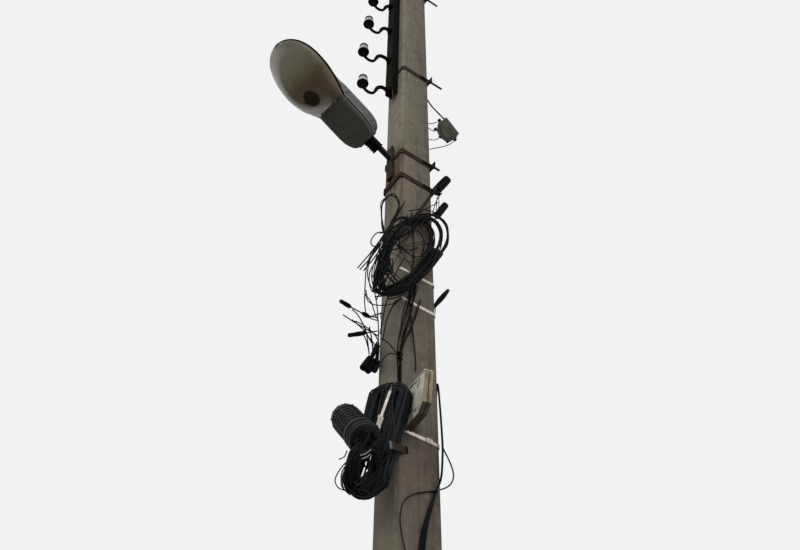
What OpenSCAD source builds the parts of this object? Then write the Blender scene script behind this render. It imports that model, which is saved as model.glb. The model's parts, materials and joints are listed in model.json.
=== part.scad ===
// Reinforced concrete utility pole with insulator hooks, a street lamp and stored cable.
// Units are millimetres. +Z is up, and the origin is the middle of the pole's foot at ground level.
// The wide face looks along -Y. The narrow face with the steelwork looks along -X.

/* [Concrete pole] */
// Height of the pole above the ground
pole_h = 9100; // [9000:50:9600]
// Width of the wide face at the ground
pole_w = 290; // [270:5:310]
// Width of the wide face at the top
pole_top_w = 197; // [185:1:205]
// Width of the narrow face, the same all the way up
pole_d = 178; // [160:2:200]
// Chamfer on the four upright edges
pole_chamfer = 14; // [8:1:20]

/* [Steel clamps] */
// Height of a clamp's flat band
band_h = 40; // [30:1:50]
// Thickness of a clamp's flat band
band_t = 5; // [4:0.5:8]
// Diameter of the threaded studs
stud_d = 14; // [10:1:18]
// How far a channel clamp's studs stand out past the pole
stud_out = 105; // [60:5:130]
// How far a lamp clamp's studs stand out past the pole
lamp_stud_out = 55; // [40:5:90]
// Height of the plate that ties the two studs
tie_plate_h = 50; // [40:2:70]

/* [Hook channel] */
// Height of the lower end of the channel above the ground
channel_z = 7385; // [7300:5:7420]
// Length of the channel
channel_len = 1660; // [1640:5:1690]
// Width of the channel across its web
channel_w = 68; // [60:1:80]
// Depth of the channel's flanges
channel_d = 52; // [40:1:60]
// Thickness of the channel's steel
channel_t = 5; // [4:0.5:7]

/* [Hooks and insulators] */
// Number of hooks
hook_count = 5; // [1:1:5]
// Spacing of the hooks up the channel
hook_pitch = 396; // [380:1:400]
// Diameter of the hook's bar
hook_bar = 20; // [14:1:22]
// Reach of the lowest hook from the channel to its downward bend
hook_reach = 83; // [70:1:100]
// Radius of the hook's first bend
hook_bend = 25; // [20:1:30]
// Straight drop between the two bends
hook_drop = 84; // [70:1:95]
// Radius of the hook's upturned end
hook_turn = 46; // [42:1:56]
// Diameter of the insulator's skirt
insulator_d = 78; // [70:1:82]
// Height of the insulator
insulator_h = 88; // [84:1:100]

/* [Lamp bracket] */
// Height of the point where the arm meets the pole
arm_z = 6665; // [6600:5:6700]
// Slope of the arm above level
arm_rise = 20; // [10:1:25]
// Outer diameter of the arm's pipe
arm_d = 38; // [34:1:48]
// Wall of the arm's pipe
arm_wall = 3; // [2.5:0.5:4]
// Width of the bracket's channel
bracket_w = 50; // [44:1:60]
// Depth of the bracket's channel
bracket_d = 14; // [10:1:20]

/* [Street lamp] */
// Distance along the arm to the lamp's neck
neck_u = 112; // [105:1:130]
// Length of the lamp's ribbed neck
neck_len = 88; // [80:1:95]
// Length of the gear housing
gear_len = 295; // [285:1:305]
// Length of the bowl
bowl_len = 471; // [455:1:480]
// Largest width of the lamp
lamp_w = 342; // [320:2:350]
// Width of the gear housing
gear_w = 228; // [216:2:236]
// Width of the lamp at its neck
lamp_neck_w = 100; // [94:1:106]
// Height of the gear cover above the rim
cover_h = 128; // [120:1:134]
// Height of the canopy above the rim, over the bowl
canopy_h = 76; // [74:1:84]
// Depth of the bowl below the rim
bowl_h = 95; // [85:1:100]
// Depth of the gear tray below the rim
gear_h = 40; // [36:1:44]
// Wall of the lamp's shells
lamp_wall = 4; // [3:0.5:5]

/* [Terminal box] */
// Height of the box
box_h = 222; // [205:1:235]
// Width of the box, which stands out from the wide face
box_w = 232; // [215:1:240]
// Depth of the box body
box_d = 21; // [18:1:28]
// Depth of the box lid
lid_d = 21; // [16:1:26]
// Wall of the box body
box_wall = 3; // [2:0.5:4]
// Turn of the box about its upright edge
box_turn = 15; // [8:1:18]
// Lean of the box, its top further out
box_lean = 14; // [6:0.5:15]

/* [Splice closure] */
// Outer diameter of the closure's dome
closure_d = 142; // [136:1:146]
// Length of the closure from base to dome end
closure_len = 330; // [310:5:340]
// Number of stiffening ribs round the dome
closure_ribs = 8; // [4:1:8]
// Lean of the closure from upright
closure_lean = 36; // [30:1:40]

/* [Cable] */
// Diameter of the slack cable
cable_d = 12; // [8:1:14]
// Diameter of the thin drop wire
wire_d = 6; // [4:0.5:8]
// Number of loops in the upper slack
loop_count = 7; // [3:1:7]
// Height of the middle of the upper slack
slack_z = 5730; // [5680:5:5780]
// Width of the largest loop of the upper slack
slack_w = 400; // [360:5:420]
// Height of the largest loop of the upper slack
slack_h = 900; // [840:5:920]
// Number of turns seen in the lower coil
turn_count = 5; // [3:1:5]

/* [Drop clamps and splice box] */
// Length of a wedge clamp
wedge_len = 202; // [170:2:220]
// Diameter of the largest wedge clamp
wedge_d = 52; // [40:1:56]
// Diameter of the other wedge clamps
small_wedge_d = 38; // [30:1:44]
// Diameter of a clamp's wire bail
bail_d = 5; // [4:0.5:7]
// Length of the splice box
splice_len = 112; // [100:2:130]
// Width of the splice box
splice_w = 100; // [90:2:115]
// Thickness of the splice box
splice_t = 60; // [50:2:70]

/* [Hidden] */
$fn = 48;

// Running clearance between pieces that seat on each other
fit = 0.3;
// Clearance of moving pieces
swing_gap = 5;

// Heights of the clamps: those of the channel stay a set way from its two ends
clamp_from_foot = 265;
clamp_from_top = 185;
lower_clamp_z = channel_z + clamp_from_foot;
upper_clamp_z = channel_z + channel_len - clamp_from_top;
lamp_upper_z = 6662;
lamp_lower_z = 6417;
strap_top_z = 5585;
strap_middle_z = 5360;
strap_box_z = 4503;

// The bright steel straps
strap_h = 20;
strap_t = 1;

// Place of the terminal box's inner edge
box_x = -93;
box_z = 4588;
box_tab_t = 2;

// Half the width of the wide face at a height
function half_w(z) = (pole_w - (pole_w - pole_top_w) * z / pole_h) / 2;
taper_angle = atan((pole_w - pole_top_w) / 2 / pole_h);

face_y = -pole_d / 2;

// Lines, left of the pole, on which the upright steelwork is clamped
channel_line = half_w(channel_z) + 2 * fit;
bracket_line = half_w(lamp_lower_z - band_h) + fit;
channel_web_x = -(channel_line + band_t + channel_d);

function unit(v) = v / norm(v);

// A rectangle with rounded corners, from one corner to the other
module round_rect(x0, y0, x1, y1, r) {
    translate([x0 + r, y0]) square([x1 - x0 - 2 * r, y1 - y0]);
    translate([x0, y0 + r]) square([x1 - x0, y1 - y0 - 2 * r]);
    for (x = [x0 + r, x1 - r], y = [y0 + r, y1 - r]) translate([x, y]) circle(r);
}

// A closed band round the pole at a height, its left leg on a given line
module pole_band(z, h, t, left) {
    hw = half_w(z - h / 2) + fit;
    x0 = -max(hw, left);
    y0 = pole_d / 2 + fit;
    translate([0, 0, z - h / 2])
        linear_extrude(h)
            difference() {
                round_rect(x0 - t, -y0 - t, hw + t, y0 + t, pole_chamfer + t);
                round_rect(x0, -y0, hw, y0, pole_chamfer);
            }
}

module rod_x(x0, x1, y, z, d, n = 0) {
    translate([x0, y, z]) rotate([0, 90, 0]) cylinder(h = x1 - x0, d = d, $fn = n == 0 ? $fn : n);
}

// An open band with two welded studs that pass through a tie plate on the right
module stud_clamp(z, left, out) {
    hw = half_w(z - tie_plate_h / 2) + fit;
    band_end = hw - pole_chamfer;
    y_stud = pole_d / 2 + fit + band_t + stud_d / 2 - 1;
    plate_t = 6;
    nut_t = 11;
    difference() {
        pole_band(z, band_h, band_t, left);
        translate([band_end, -pole_d, z - band_h]) cube([pole_w, 2 * pole_d, 2 * band_h]);
    }
    for (side = [-1, 1]) {
        rod_x(band_end - 60, hw + out, side * y_stud, z, stud_d);
        rod_x(hw + plate_t, hw + plate_t + nut_t, side * y_stud, z, stud_d * 1.8, 6);
    }
    difference() {
        translate([hw, -y_stud - 25, z - tie_plate_h / 2]) cube([plate_t, 2 * y_stud + 50, tie_plate_h]);
        for (side = [-1, 1]) rod_x(hw - 1, hw + plate_t + 1, side * y_stud, z, stud_d);
    }
}

module stud_clamp_lower() {
    color([0.16, 0.13, 0.11]) stud_clamp(lower_clamp_z, 0, stud_out);
}

module stud_clamp_upper() {
    color([0.16, 0.13, 0.11]) stud_clamp(upper_clamp_z, 0, stud_out);
}

module lamp_clamp_upper() {
    color([0.20, 0.14, 0.10]) stud_clamp(lamp_upper_z, bracket_line, lamp_stud_out);
}

module lamp_clamp_lower() {
    color([0.20, 0.14, 0.10]) stud_clamp(lamp_lower_z, bracket_line + band_t, lamp_stud_out);
}

module concrete_pole() {
    color([0.44, 0.41, 0.37])
    difference() {
        translate([0, pole_d / 2, 0]) rotate([90, 0, 0])
            linear_extrude(pole_d)
                polygon([[-pole_w / 2, 0], [pole_w / 2, 0],
                         [pole_top_w / 2, pole_h], [-pole_top_w / 2, pole_h]]);
        for (mx = [0, 1], my = [0, 1])
            mirror([mx, 0, 0]) mirror([0, my, 0])
                translate([pole_w / 2, pole_d / 2, 0]) rotate([0, -taper_angle, 0]) rotate([0, 0, 45])
                    translate([-pole_chamfer / sqrt(2), -2 * pole_chamfer, -50])
                        cube([4 * pole_chamfer, 4 * pole_chamfer, pole_h + 100]);
    }
}

// A channel with its web outwards and its flange ends on a line left of the pole
module web_out_channel(line, w, d, t, z0, len, y) {
    difference() {
        translate([-line - d, y - w / 2, z0]) cube([d, w, len]);
        translate([-line - d + t, y - w / 2 + t, z0 - 1]) cube([d, w - 2 * t, len + 2]);
    }
}

// The hooks are not screwed in alike, and one hole is drilled higher
hook_short = [0, -12, 14, 40, 14];
hole_shift = [0, 0, 25, 0, 0];
function hook_z(i) = channel_z + 18 + (i - 1) * hook_pitch + hole_shift[i - 1];
function hook_bend_x(i) = channel_web_x - hook_reach + hook_short[i - 1];

// The channel and its hooks lean with the pole's narrow face
module on_narrow_face() {
    translate([-channel_line, 0, channel_z]) rotate([0, taper_angle, 0])
        translate([channel_line, 0, -channel_z]) children();
}

module hook_channel() {
    color([0.12, 0.11, 0.10])
    on_narrow_face() difference() {
        web_out_channel(channel_line + band_t, channel_w, channel_d, channel_t, channel_z, channel_len, 0);
        for (i = [1 : hook_count])
            rod_x(channel_web_x - 1, channel_web_x + channel_t + 1, 0, hook_z(i), hook_bar + 2 * fit);
    }
}

// Round bar bent in the XZ plane: quarter or half turn of a torus
module bar_turn(r, d, a0, a1) {
    rotate([90, 0, 0]) rotate([0, 0, a0])
        rotate_extrude(angle = a1 - a0) translate([r, 0]) circle(d = d, $fn = 32);
}

// S-shaped hook: shank through the web, down, round and up into the insulator
module hook(i) {
    z = hook_z(i);
    x_bend = hook_bend_x(i);
    x_down = x_bend - hook_bend;
    x_up = x_down - 2 * hook_turn;
    z_turn = z - hook_bend - hook_drop;
    pin_top = z_turn + insulator_h * 0.62;
    washer = 50;
    color([0.10, 0.09, 0.08])
    on_narrow_face() {
        rod_x(x_bend, channel_web_x + channel_t + 22, 0, z, hook_bar);
        rod_x(channel_web_x + channel_t + 5, channel_web_x + channel_t + 17, 0, z, hook_bar * 1.75, 6);
        rod_x(channel_web_x - 19, channel_web_x - 7, 0, z, hook_bar * 1.75, 6);
        translate([channel_web_x - 5 - fit, -washer / 2, z - washer / 2]) cube([5, washer, washer]);
        rod_x(channel_web_x - 8, channel_web_x - 5, 0, z, hook_bar * 1.6);
        rod_x(channel_web_x + channel_t + fit, channel_web_x + channel_t + 5, 0, z, hook_bar * 2);
        translate([x_bend, 0, z - hook_bend]) bar_turn(hook_bend, hook_bar, 90, 180);
        translate([x_down, 0, z_turn]) cylinder(h = hook_drop, d = hook_bar, $fn = 32);
        translate([x_down - hook_turn, 0, z_turn]) bar_turn(hook_turn, hook_bar, 180, 360);
        translate([x_up, 0, z_turn]) cylinder(h = pin_top - z_turn, d = hook_bar, $fn = 32);
    }
}

// Glass pin insulator: skirt, wire neck and head, hollow under the skirt
module insulator(i) {
    x_up = hook_bend_x(i) - hook_bend - 2 * hook_turn;
    z_turn = hook_z(i) - hook_bend - hook_drop;
    r = insulator_d / 2;
    h = insulator_h;
    bore = hook_bar / 2 + fit;
    color([0.78, 0.84, 0.82])
    on_narrow_face() translate([x_up, 0, z_turn + 4])
        rotate_extrude()
            polygon([[bore, h * 0.12], [bore, h * 0.62], [0.01, h * 0.62], [0.01, h], [r * 0.42, h],
                     [r * 0.66, h * 0.96], [r * 0.76, h * 0.88], [r * 0.76, h * 0.82], [r * 0.60, h * 0.76],
                     [r * 0.56, h * 0.70], [r * 0.60, h * 0.64], [r * 0.74, h * 0.58], [r * 0.84, h * 0.46],
                     [r * 0.94, h * 0.24], [r, h * 0.04], [r * 0.97, 0], [r * 0.88, 0], [r * 0.82, h * 0.06],
                     [r * 0.72, h * 0.36], [r * 0.60, h * 0.42], [r * 0.52, h * 0.36], [r * 0.46, h * 0.12]]);
}

// A channel with a flat plate behind its flanges that runs down past its foot, cut from one block
bracket_len = 320;
module lamp_bracket() {
    tail_z = lamp_lower_z - band_h / 2 - 12;
    foot_z = lamp_lower_z + band_h / 2 + 30;
    plate_top = lamp_upper_z - band_h / 2 - fit;
    out = band_t + bracket_d;
    above = foot_z + bracket_len - tail_z;
    color([0.30, 0.20, 0.14])
    translate([-bracket_line - out, arm_y - bracket_w / 2, tail_z])
        difference() {
            cube([out, bracket_w, above]);
            translate([-1, -1, -1]) cube([bracket_d + 1, bracket_w + 2, foot_z - tail_z + 1]);
            translate([band_t, band_t, -1]) cube([bracket_d - band_t, bracket_w - 2 * band_t, above + 2]);
            translate([bracket_d, -1, plate_top - tail_z]) cube([band_t + 1, bracket_w + 2, above]);
        }
}

// The arm's own frame: X runs out along the arm, Z is square to it
arm_x = -110;
arm_y = 12;
arm_yaw = 186;
module along_arm() {
    translate([arm_x, arm_y, arm_z]) rotate([0, 0, arm_yaw]) rotate([0, -arm_rise, 0]) children();
}

gear_u = neck_u + neck_len;

// The lamp's own frame starts at the end of its neck, below the arm and tilted a little more
lamp_tilt = 3;
lamp_drop = 70;
lamp_side = -5;
module along_lamp() {
    along_arm() translate([gear_u, lamp_side, -lamp_drop]) rotate([0, -lamp_tilt, 0]) children();
}

// Distances from the neck: the seam before the bowl, the widest place and the tip
seam_v = gear_len;
tip_v = seam_v + swing_gap * 2 + bowl_len;
nose_len = bowl_len / 2;
wide_v = tip_v - nose_len;

// Length of the arm's pipe inside the lamp
arm_inside = 60;

module lamp_arm() {
    web_x = -(bracket_line + band_t + bracket_d);
    root = 60;
    color([0.22, 0.19, 0.17])
    difference() {
        along_arm() translate([-root, 0, 0]) rotate([0, 90, 0])
            difference() {
                cylinder(h = root + gear_u + arm_inside, d = arm_d);
                translate([0, 0, -1]) cylinder(h = root + gear_u + arm_inside + 2, d = arm_d - 2 * arm_wall);
            }
        translate([web_x, -200, arm_z - 300]) cube([300, 400, 600]);
    }
}

function lerp(a, b, t) = a + (b - a) * t;
function smooth(t) = let (c = min(1, max(0, t))) c * c * (3 - 2 * c);
function bent(v, e) = sign(v) * pow(abs(v), e);

// Share of the full width left at a distance from the neck, for the nose of the lamp
function nose(v) = v > wide_v ? sqrt(max(0, 1 - pow((v - wide_v) / nose_len, 2.5))) : 1;

// Half width of the lamp's outline: rounded housing, waist at the seam, widest over the bowl, blunt nose
housing_round = 120;
function lamp_half(v) =
    v > wide_v ? lamp_w / 2 * nose(v)
  : v > seam_v ? lerp(gear_w / 2, lamp_w / 2, sin(90 * (v - seam_v) / (wide_v - seam_v)))
               : lerp(lamp_neck_w / 2, gear_w / 2, sqrt(1 - pow(max(0, 1 - v / housing_round), 2)));

// The gear cover is tall and boxy, the canopy over the bowl low and round
end_share = 0.85;
end_len = 40;
hump_before = 15;
hump_end = 140;
function cover_top(v) =
    lerp(cover_h, canopy_h, smooth((v - seam_v + hump_before) / hump_end))
    * lerp(end_share, 1, min(1, v / end_len)) * nose(v);
function cover_bend(v) = lerp(0.25, 1, smooth((v - seam_v) / hump_end));

tray_bend = 0.6;
tray_end_share = 0.75;
function tray_depth(v) = lerp(tray_end_share, 1, min(1, v / 60)) * gear_h;

// The bowl is deepest a little past the seam and rises towards the nose
bowl_bend = 0.5;
bowl_tip_h = 10;
bowl_start = 90;
function bowl_depth(v) =
    v < seam_v + swing_gap + bowl_start
        ? lerp(gear_h, bowl_h, smooth((v - seam_v - swing_gap) / bowl_start))
        : lerp(bowl_h, bowl_tip_h, smooth((v - seam_v - 155) / 300));

// How far the tray and the bowl stand in from the rim of the cover
tray_inset = 6;
bowl_inset = 4;

// One C-shaped section of a shell: outer arc, then inner arc back
arc_n = 18;
function arc(v, hw, h, e, from, to) =
    [for (i = [0 : arc_n])
        let (a = lerp(from, to, i / arc_n)) [v, hw * bent(cos(a), e), h * bent(sin(a), e)]];
function shell_ring(v, hw, h, t, e) =
    concat(arc(v, hw, h, e, 0, 180), arc(v, max(hw - t, hw * 0.5), max(h - t, 1), e, 180, 0));

// A shell open at its rim, lofted through its sections
module shell_loft(rings) {
    m = 2 * (arc_n + 1);
    last = len(rings) - 1;
    pts = [for (r = rings) each r];
    sides = [for (k = [0 : last - 1], i = [0 : m - 1]) let (j = (i + 1) % m)
                each [[k * m + i, (k + 1) * m + i, k * m + j],
                      [k * m + j, (k + 1) * m + i, (k + 1) * m + j]]];
    caps = [for (i = [0 : arc_n - 1]) each [
                [i, i + 1, m - 2 - i], [i, m - 2 - i, m - 1 - i],
                [last * m + i + 1, last * m + i, last * m + m - 2 - i],
                [last * m + i, last * m + m - 1 - i, last * m + m - 2 - i]]];
    polyhedron(pts, concat(sides, caps), convexity = 6);
}

function steps(a, b, n) = [for (i = [0 : n]) lerp(a, b, i / n)];
housing_steps = [0, 8, 22, 45, 80, 120];
function nose_steps(shares) = [for (q = shares) wide_v + nose_len * q];

// Wall of a shell at one of its sections: the last section closes the nose
nose_wall = 40;
function wall_at(k, n, t) = k == n - 1 ? nose_wall : t;

module lamp_cover() {
    vs = concat(housing_steps, steps(155, wide_v, 11),
                nose_steps([0.2, 0.4, 0.55, 0.7, 0.82, 0.9, 0.96, 0.99]));
    color([0.55, 0.56, 0.55])
    along_lamp()
        shell_loft([for (k = [0 : len(vs) - 1])
            shell_ring(vs[k], lamp_half(vs[k]), cover_top(vs[k]),
                       wall_at(k, len(vs), lamp_wall), cover_bend(vs[k]))]);
}

// A flat plate across the lamp, its outline in the lamp's Y and Z
module cross_plate(v, t) {
    translate([v, 0, 0]) rotate([90, 0, 90]) linear_extrude(t) children();
}

// Half a section below the rim, as a flat outline
module lower_outline(hw, h, e) {
    polygon([for (i = [0 : arc_n]) let (a = 180 * i / arc_n) [hw * bent(cos(a), e), -h * bent(sin(a), e)]]);
}

module lamp_neck() {
    block_w = 56;
    block_h = 48;
    rib_w = 8;
    rib_out = 4;
    plate_t = 6;
    color([0.16, 0.16, 0.16])
    difference() {
        union() {
            along_arm() {
                translate([neck_u, -block_w / 2, -block_h]) cube([neck_len - plate_t, block_w, block_h - 2]);
                for (k = [0 : 4])
                    translate([neck_u + 2 + 2 * k * rib_w, -block_w / 2 - rib_out, -block_h - rib_out])
                        cube([rib_w, block_w + 2 * rib_out, block_h]);
            }
            along_lamp() {
                cross_plate(-plate_t, plate_t) {
                    lower_outline(lamp_neck_w / 2 - tray_inset, tray_depth(0), tray_bend);
                    mirror([0, 1, 0]) lower_outline(lamp_neck_w / 2, cover_top(0), cover_bend(0));
                }
                translate([-plate_t - 8, -block_w / 2, lamp_drop - block_h]) cube([10, block_w, block_h - 6]);
            }
        }
        along_arm() translate([neck_u - 20, 0, 0]) rotate([0, 90, 0])
            cylinder(h = neck_len + 60, d = arm_d + 2 * fit);
        along_lamp() translate([0, -lamp_w, -lamp_w]) cube(2 * lamp_w);
    }
}

// The hinge of the bowl hangs under the seam, on a pin across the lamp
hinge_pin_d = 6;
hinge_knuckle_r = 6;
hinge_ear = 14;
hinge_y = 46;
hinge_v = seam_v + swing_gap / 2;
hinge_w = -gear_h - 20;

// An ear from the hinge pin up to a point of the shell, on one side of the pin
module hinge_knuckle(side, y0, y1, shell_w) {
    translate([0, y1, 0]) rotate([90, 0, 0]) linear_extrude(y1 - y0) {
        translate([hinge_v, hinge_w]) circle(hinge_knuckle_r);
        polygon([[hinge_v - side * 3, hinge_w - 5], [hinge_v + side * 4, hinge_w - 4.4],
                 [hinge_v + side * 24, shell_w + 2], [hinge_v + side * 6, shell_w + 2],
                 [hinge_v - side * 1, hinge_w + 5]]);
    }
}

module lamp_gear_tray() {
    vs = concat(housing_steps, steps(155, seam_v, 4));
    wall_up = 60;
    wall_w = 180;
    color([0.20, 0.21, 0.22])
    along_lamp() {
        translate([0, 0, -1]) mirror([0, 0, 1])
            shell_loft([for (v = vs)
                shell_ring(v, lamp_half(v) - tray_inset, tray_depth(v), lamp_wall, tray_bend)]);
        cross_plate(seam_v - lamp_wall, lamp_wall) {
            translate([0, -1]) lower_outline(gear_w / 2 - tray_inset - 1, gear_h - 1, tray_bend);
            translate([-wall_w / 2, -2]) square([wall_w, wall_up + 2]);
        }
        for (m = [0, 1]) mirror([0, m, 0]) {
            hinge_knuckle(-1, hinge_y, hinge_y + hinge_ear, -gear_h);
            translate([hinge_v, hinge_y + 2 * hinge_ear + 1, hinge_w]) rotate([90, 0, 0])
                cylinder(h = 2 * hinge_ear + 1, d = hinge_pin_d);
        }
    }
}

module lamp_bowl() {
    b0 = seam_v + swing_gap;
    vs = concat(steps(b0, wide_v, 10), nose_steps([0.15, 0.3, 0.45, 0.6, 0.72, 0.82, 0.9, 0.95, 0.98]));
    color([0.62, 0.60, 0.55])
    along_lamp() {
        translate([0, 0, -swing_gap]) {
            mirror([0, 0, 1])
                shell_loft([for (k = [0 : len(vs) - 1])
                    shell_ring(vs[k], lamp_half(vs[k]) - bowl_inset, bowl_depth(vs[k]),
                               wall_at(k, len(vs), lamp_wall), bowl_bend)]);
            cross_plate(b0, lamp_wall) lower_outline(lamp_half(b0) - bowl_inset - 1, gear_h - 1, bowl_bend);
        }
        for (m = [0, 1]) mirror([0, m, 0])
            difference() {
                hinge_knuckle(1, hinge_y + hinge_ear + 1, hinge_y + 2 * hinge_ear + 1, -gear_h - swing_gap);
                translate([hinge_v, hinge_y + 3 * hinge_ear, hinge_w]) rotate([90, 0, 0])
                    cylinder(h = 3 * hinge_ear, d = hinge_pin_d + 2 * fit);
            }
    }
}

// The bulb stands on the tray's end wall, through a hole in the back of the reflector
bulb_w = 28;
bulb_base_r = 26;
module lamp_reflector() {
    sheet = 2.5;
    inset = lamp_wall + 3;
    vs = concat(steps(seam_v + fit, wide_v, 8), nose_steps([0.2, 0.4, 0.55, 0.7, 0.8]));
    color([0.80, 0.80, 0.80])
    along_lamp() {
        shell_loft([for (v = vs)
            shell_ring(v, lamp_half(v) - inset, cover_top(v) - inset, sheet, cover_bend(v))]);
        cross_plate(seam_v + fit, sheet)
            difference() {
                mirror([0, 1])
                    lower_outline(gear_w / 2 - inset - 1, cover_top(seam_v) - inset - 1, cover_bend(seam_v));
                translate([0, bulb_w]) circle(bulb_base_r + 1);
            }
    }
}

module lamp_bulb() {
    color([0.93, 0.93, 0.90])
    along_lamp() translate([seam_v, 0, bulb_w]) rotate([0, 90, 0])
        rotate_extrude()
            polygon([[0.01, fit], [bulb_base_r, fit], [bulb_base_r, 44], [17, 46], [17, 60], [22, 76],
                     [31, 104], [33, 128], [31, 150], [22, 168], [9, 176], [0.01, 177]]);
}

module strap_top() {
    color([0.72, 0.72, 0.70]) pole_band(strap_top_z, strap_h, strap_t, 0);
}

module strap_middle() {
    color([0.72, 0.72, 0.70]) pole_band(strap_middle_z, strap_h, strap_t, 0);
}

// The strap under the terminal box has its buckle in view
buckle = [34, 6, 28];
buckle_x = 40;
module strap_box() {
    color([0.80, 0.79, 0.74]) {
        pole_band(strap_box_z, strap_h, strap_t, 0);
        translate([buckle_x, face_y - fit - buckle[1], strap_box_z - buckle[2] / 2]) cube(buckle);
    }
}

// A closed racetrack loop of cable in the XZ plane, centred on its middle
module oval_loop(w, h, d) {
    r = (w - d) / 2;
    s = h - d - 2 * r;
    for (side = [-1, 1]) {
        translate([side * r, 0, -s / 2]) cylinder(h = s, d = d, $fn = 24);
        translate([0, 0, side * s / 2]) bar_turn(r, d, side > 0 ? 0 : 180, side > 0 ? 180 : 360);
    }
}

// The first loop lies on the middle strap, and each next one on the last
loop_y = face_y - strap_t - 2 * fit - cable_d / 2;

// Upper slack: loops of cable laid one on another over the wide face
// Each row is the middle of a loop across and up, its width and its height as shares of the largest, its turn
// and the layer that it lies in
slack_rows = [[-0.14, 0.02, 0.82, 0.94, 26, 0], [-0.16, 0, 0.76, 0.88, 29, 1],
              [-0.18, 0.02, 0.70, 0.80, 24, 2], [-0.15, 0.03, 0.60, 0.74, 31, 3],
              [-0.46, 0.245, 0.28, 0.47, 8, 4], [-0.55, -0.32, 0.42, 0.5, 4, 4],
              [-0.19, -0.01, 0.52, 0.66, 22, 5]];
module slack_loops() {
    color([0.06, 0.06, 0.06])
    for (k = [0 : loop_count - 1])
        let (row = slack_rows[k])
            translate([slack_w * row[0], loop_y - row[5] * (cable_d + fit), slack_z + slack_h * row[1]])
                rotate([0, row[4], 0]) oval_loop(slack_w * row[2], slack_h * row[3], cable_d);
}

// A loop of cable with a straight side of a given length and round ends
module belt_loop(straight, r, d) {
    for (side = [-1, 1]) {
        translate([side * r, 0, -straight / 2]) cylinder(h = straight, d = d, $fn = 24);
        translate([0, 0, side * straight / 2]) bar_turn(r, d, side > 0 ? 0 : 180, side > 0 ? 180 : 360);
    }
}

// The coil hangs from a hook on the pole's left front chamfer
coil_z = 4646;
coil_root = [-half_w(coil_z) + pole_chamfer / 2, face_y + pole_chamfer / 2, coil_z];
coil_yaw = -60;
coil_tilt = 12;
coil_out = 72;
coil_straight = 434;
coil_rod_d = 12;
coil_inner_r = 48;
module along_coil_hook() {
    translate(coil_root) rotate([0, 0, coil_yaw]) children();
}

module lower_coil() {
    drop = coil_inner_r - cable_d / 2 - fit - coil_rod_d / 2;
    pitch = cable_d + fit;
    color([0.05, 0.05, 0.06])
    along_coil_hook()
        for (layer = [0 : 1], k = [0 : turn_count - 1])
            translate([0, -coil_out - layer * pitch, -drop])
                rotate([0, coil_tilt, 0]) translate([0, 0, -coil_straight / 2])
                    belt_loop(coil_straight, coil_inner_r + k * pitch, cable_d);
}

module coil_hook() {
    len = coil_out + 46;
    tip_h = 30;
    color([0.35, 0.33, 0.30]) {
        translate(coil_root) rotate([0, 0, 45]) translate([-fit - 5, -11, -30]) cube([5, 22, 60]);
        along_coil_hook() {
            translate([0, -4, 0]) rotate([90, 0, 0]) cylinder(h = len - 4, d = coil_rod_d);
            translate([0, -len, 0]) sphere(d = coil_rod_d);
            translate([0, -len, 0]) cylinder(h = tip_h, d = coil_rod_d);
        }
    }
}

closure_at = [-341, -171, 4271];
module along_closure() {
    translate(closure_at) rotate([-closure_lean, 0, 0]) children();
}

module closure_dome() {
    r = closure_d / 2 - 5;
    straight = closure_len - 40 - r * 0.55;
    pitch = (straight - 20) / closure_ribs;
    color([0.07, 0.07, 0.08])
    along_closure() translate([0, 0, 40 + fit]) {
        rotate_extrude()
            polygon(concat([[0.01, 0], [r, 0], [r, straight]],
                           [for (a = [15 : 15 : 75]) [r * cos(a), straight + r * 0.55 * sin(a)]],
                           [[0.01, straight + r * 0.55]]));
        for (k = [0 : closure_ribs - 1])
            translate([0, 0, 12 + k * pitch]) cylinder(h = 8, r = closure_d / 2);
    }
}

// Flat bar between two points, its width across the line
module flat_bar(a, b, w, t) {
    v = b - a;
    l = norm(v);
    translate(a) rotate([0, acos(v[2] / l), atan2(v[1], v[0])])
        translate([-t / 2, -w / 2, 0]) cube([t, w, l]);
}

function on_closure(p) = closure_at + [p[0], p[1] * cos(closure_lean) + p[2] * sin(closure_lean),
                                       p[2] * cos(closure_lean) - p[1] * sin(closure_lean)];

// Steel strap that hangs the closure from the coil's hook
hanger_out = coil_out + 32;
module closure_hanger() {
    r = closure_d / 2 + fit;
    eye_w = 8;
    eye_d = coil_rod_d + 2 * fit + 8;
    eye = coil_root + hanger_out * [sin(coil_yaw), -cos(coil_yaw), 0] - [0, 0, eye_d / 2 - 2];
    color([0.62, 0.62, 0.60]) {
        along_closure() translate([0, 0, 60]) difference() {
            cylinder(h = 20, r = r + 2);
            translate([0, 0, -1]) cylinder(h = 22, r = r);
        }
        flat_bar(on_closure([closure_d / 2 + 1, 0, 70]), eye, 18, 2);
        along_coil_hook() translate([0, -hanger_out + eye_w / 2, 0]) rotate([90, 0, 0])
            difference() {
                cylinder(h = eye_w, d = eye_d);
                translate([0, 0, -1]) cylinder(h = eye_w + 2, d = coil_rod_d + 2 * fit);
            }
    }
}

// Three cables from under the closure to the bottom of the coil
lead_d = 18;
lead_route = [[-380, -192, 4205], [-392, -172, 4150], [-386, -150, 4095],
              [-364, -138, 4048], [-318, -100, 4028], [-276, -66, 4050]];
module closure_leads() {
    color([0.05, 0.05, 0.06])
    for (k = [-1 : 1])
        tube(concat([for (out = [fit, 34]) on_closure([-22 + 17 * k, -9 * k, -out])],
                    [for (q = lead_route) q + (lead_d + fit) * k * [0.5, -0.87, 0]]), lead_d);
}

module closure_base() {
    color([0.06, 0.06, 0.07])
    along_closure()
        cylinder(h = 40, d = closure_d + 6);
}

// The box stands edge on to the wide face, its lid towards the lamp's side, and leans on its lower edge
module box_frame() {
    translate([box_x, face_y - fit - strap_t - box_tab_t, box_z]) rotate([0, 0, -box_turn])
        translate([0, 0, -box_h / 2]) rotate([box_lean, 0, 0]) translate([0, 0, box_h / 2]) children();
}

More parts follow.
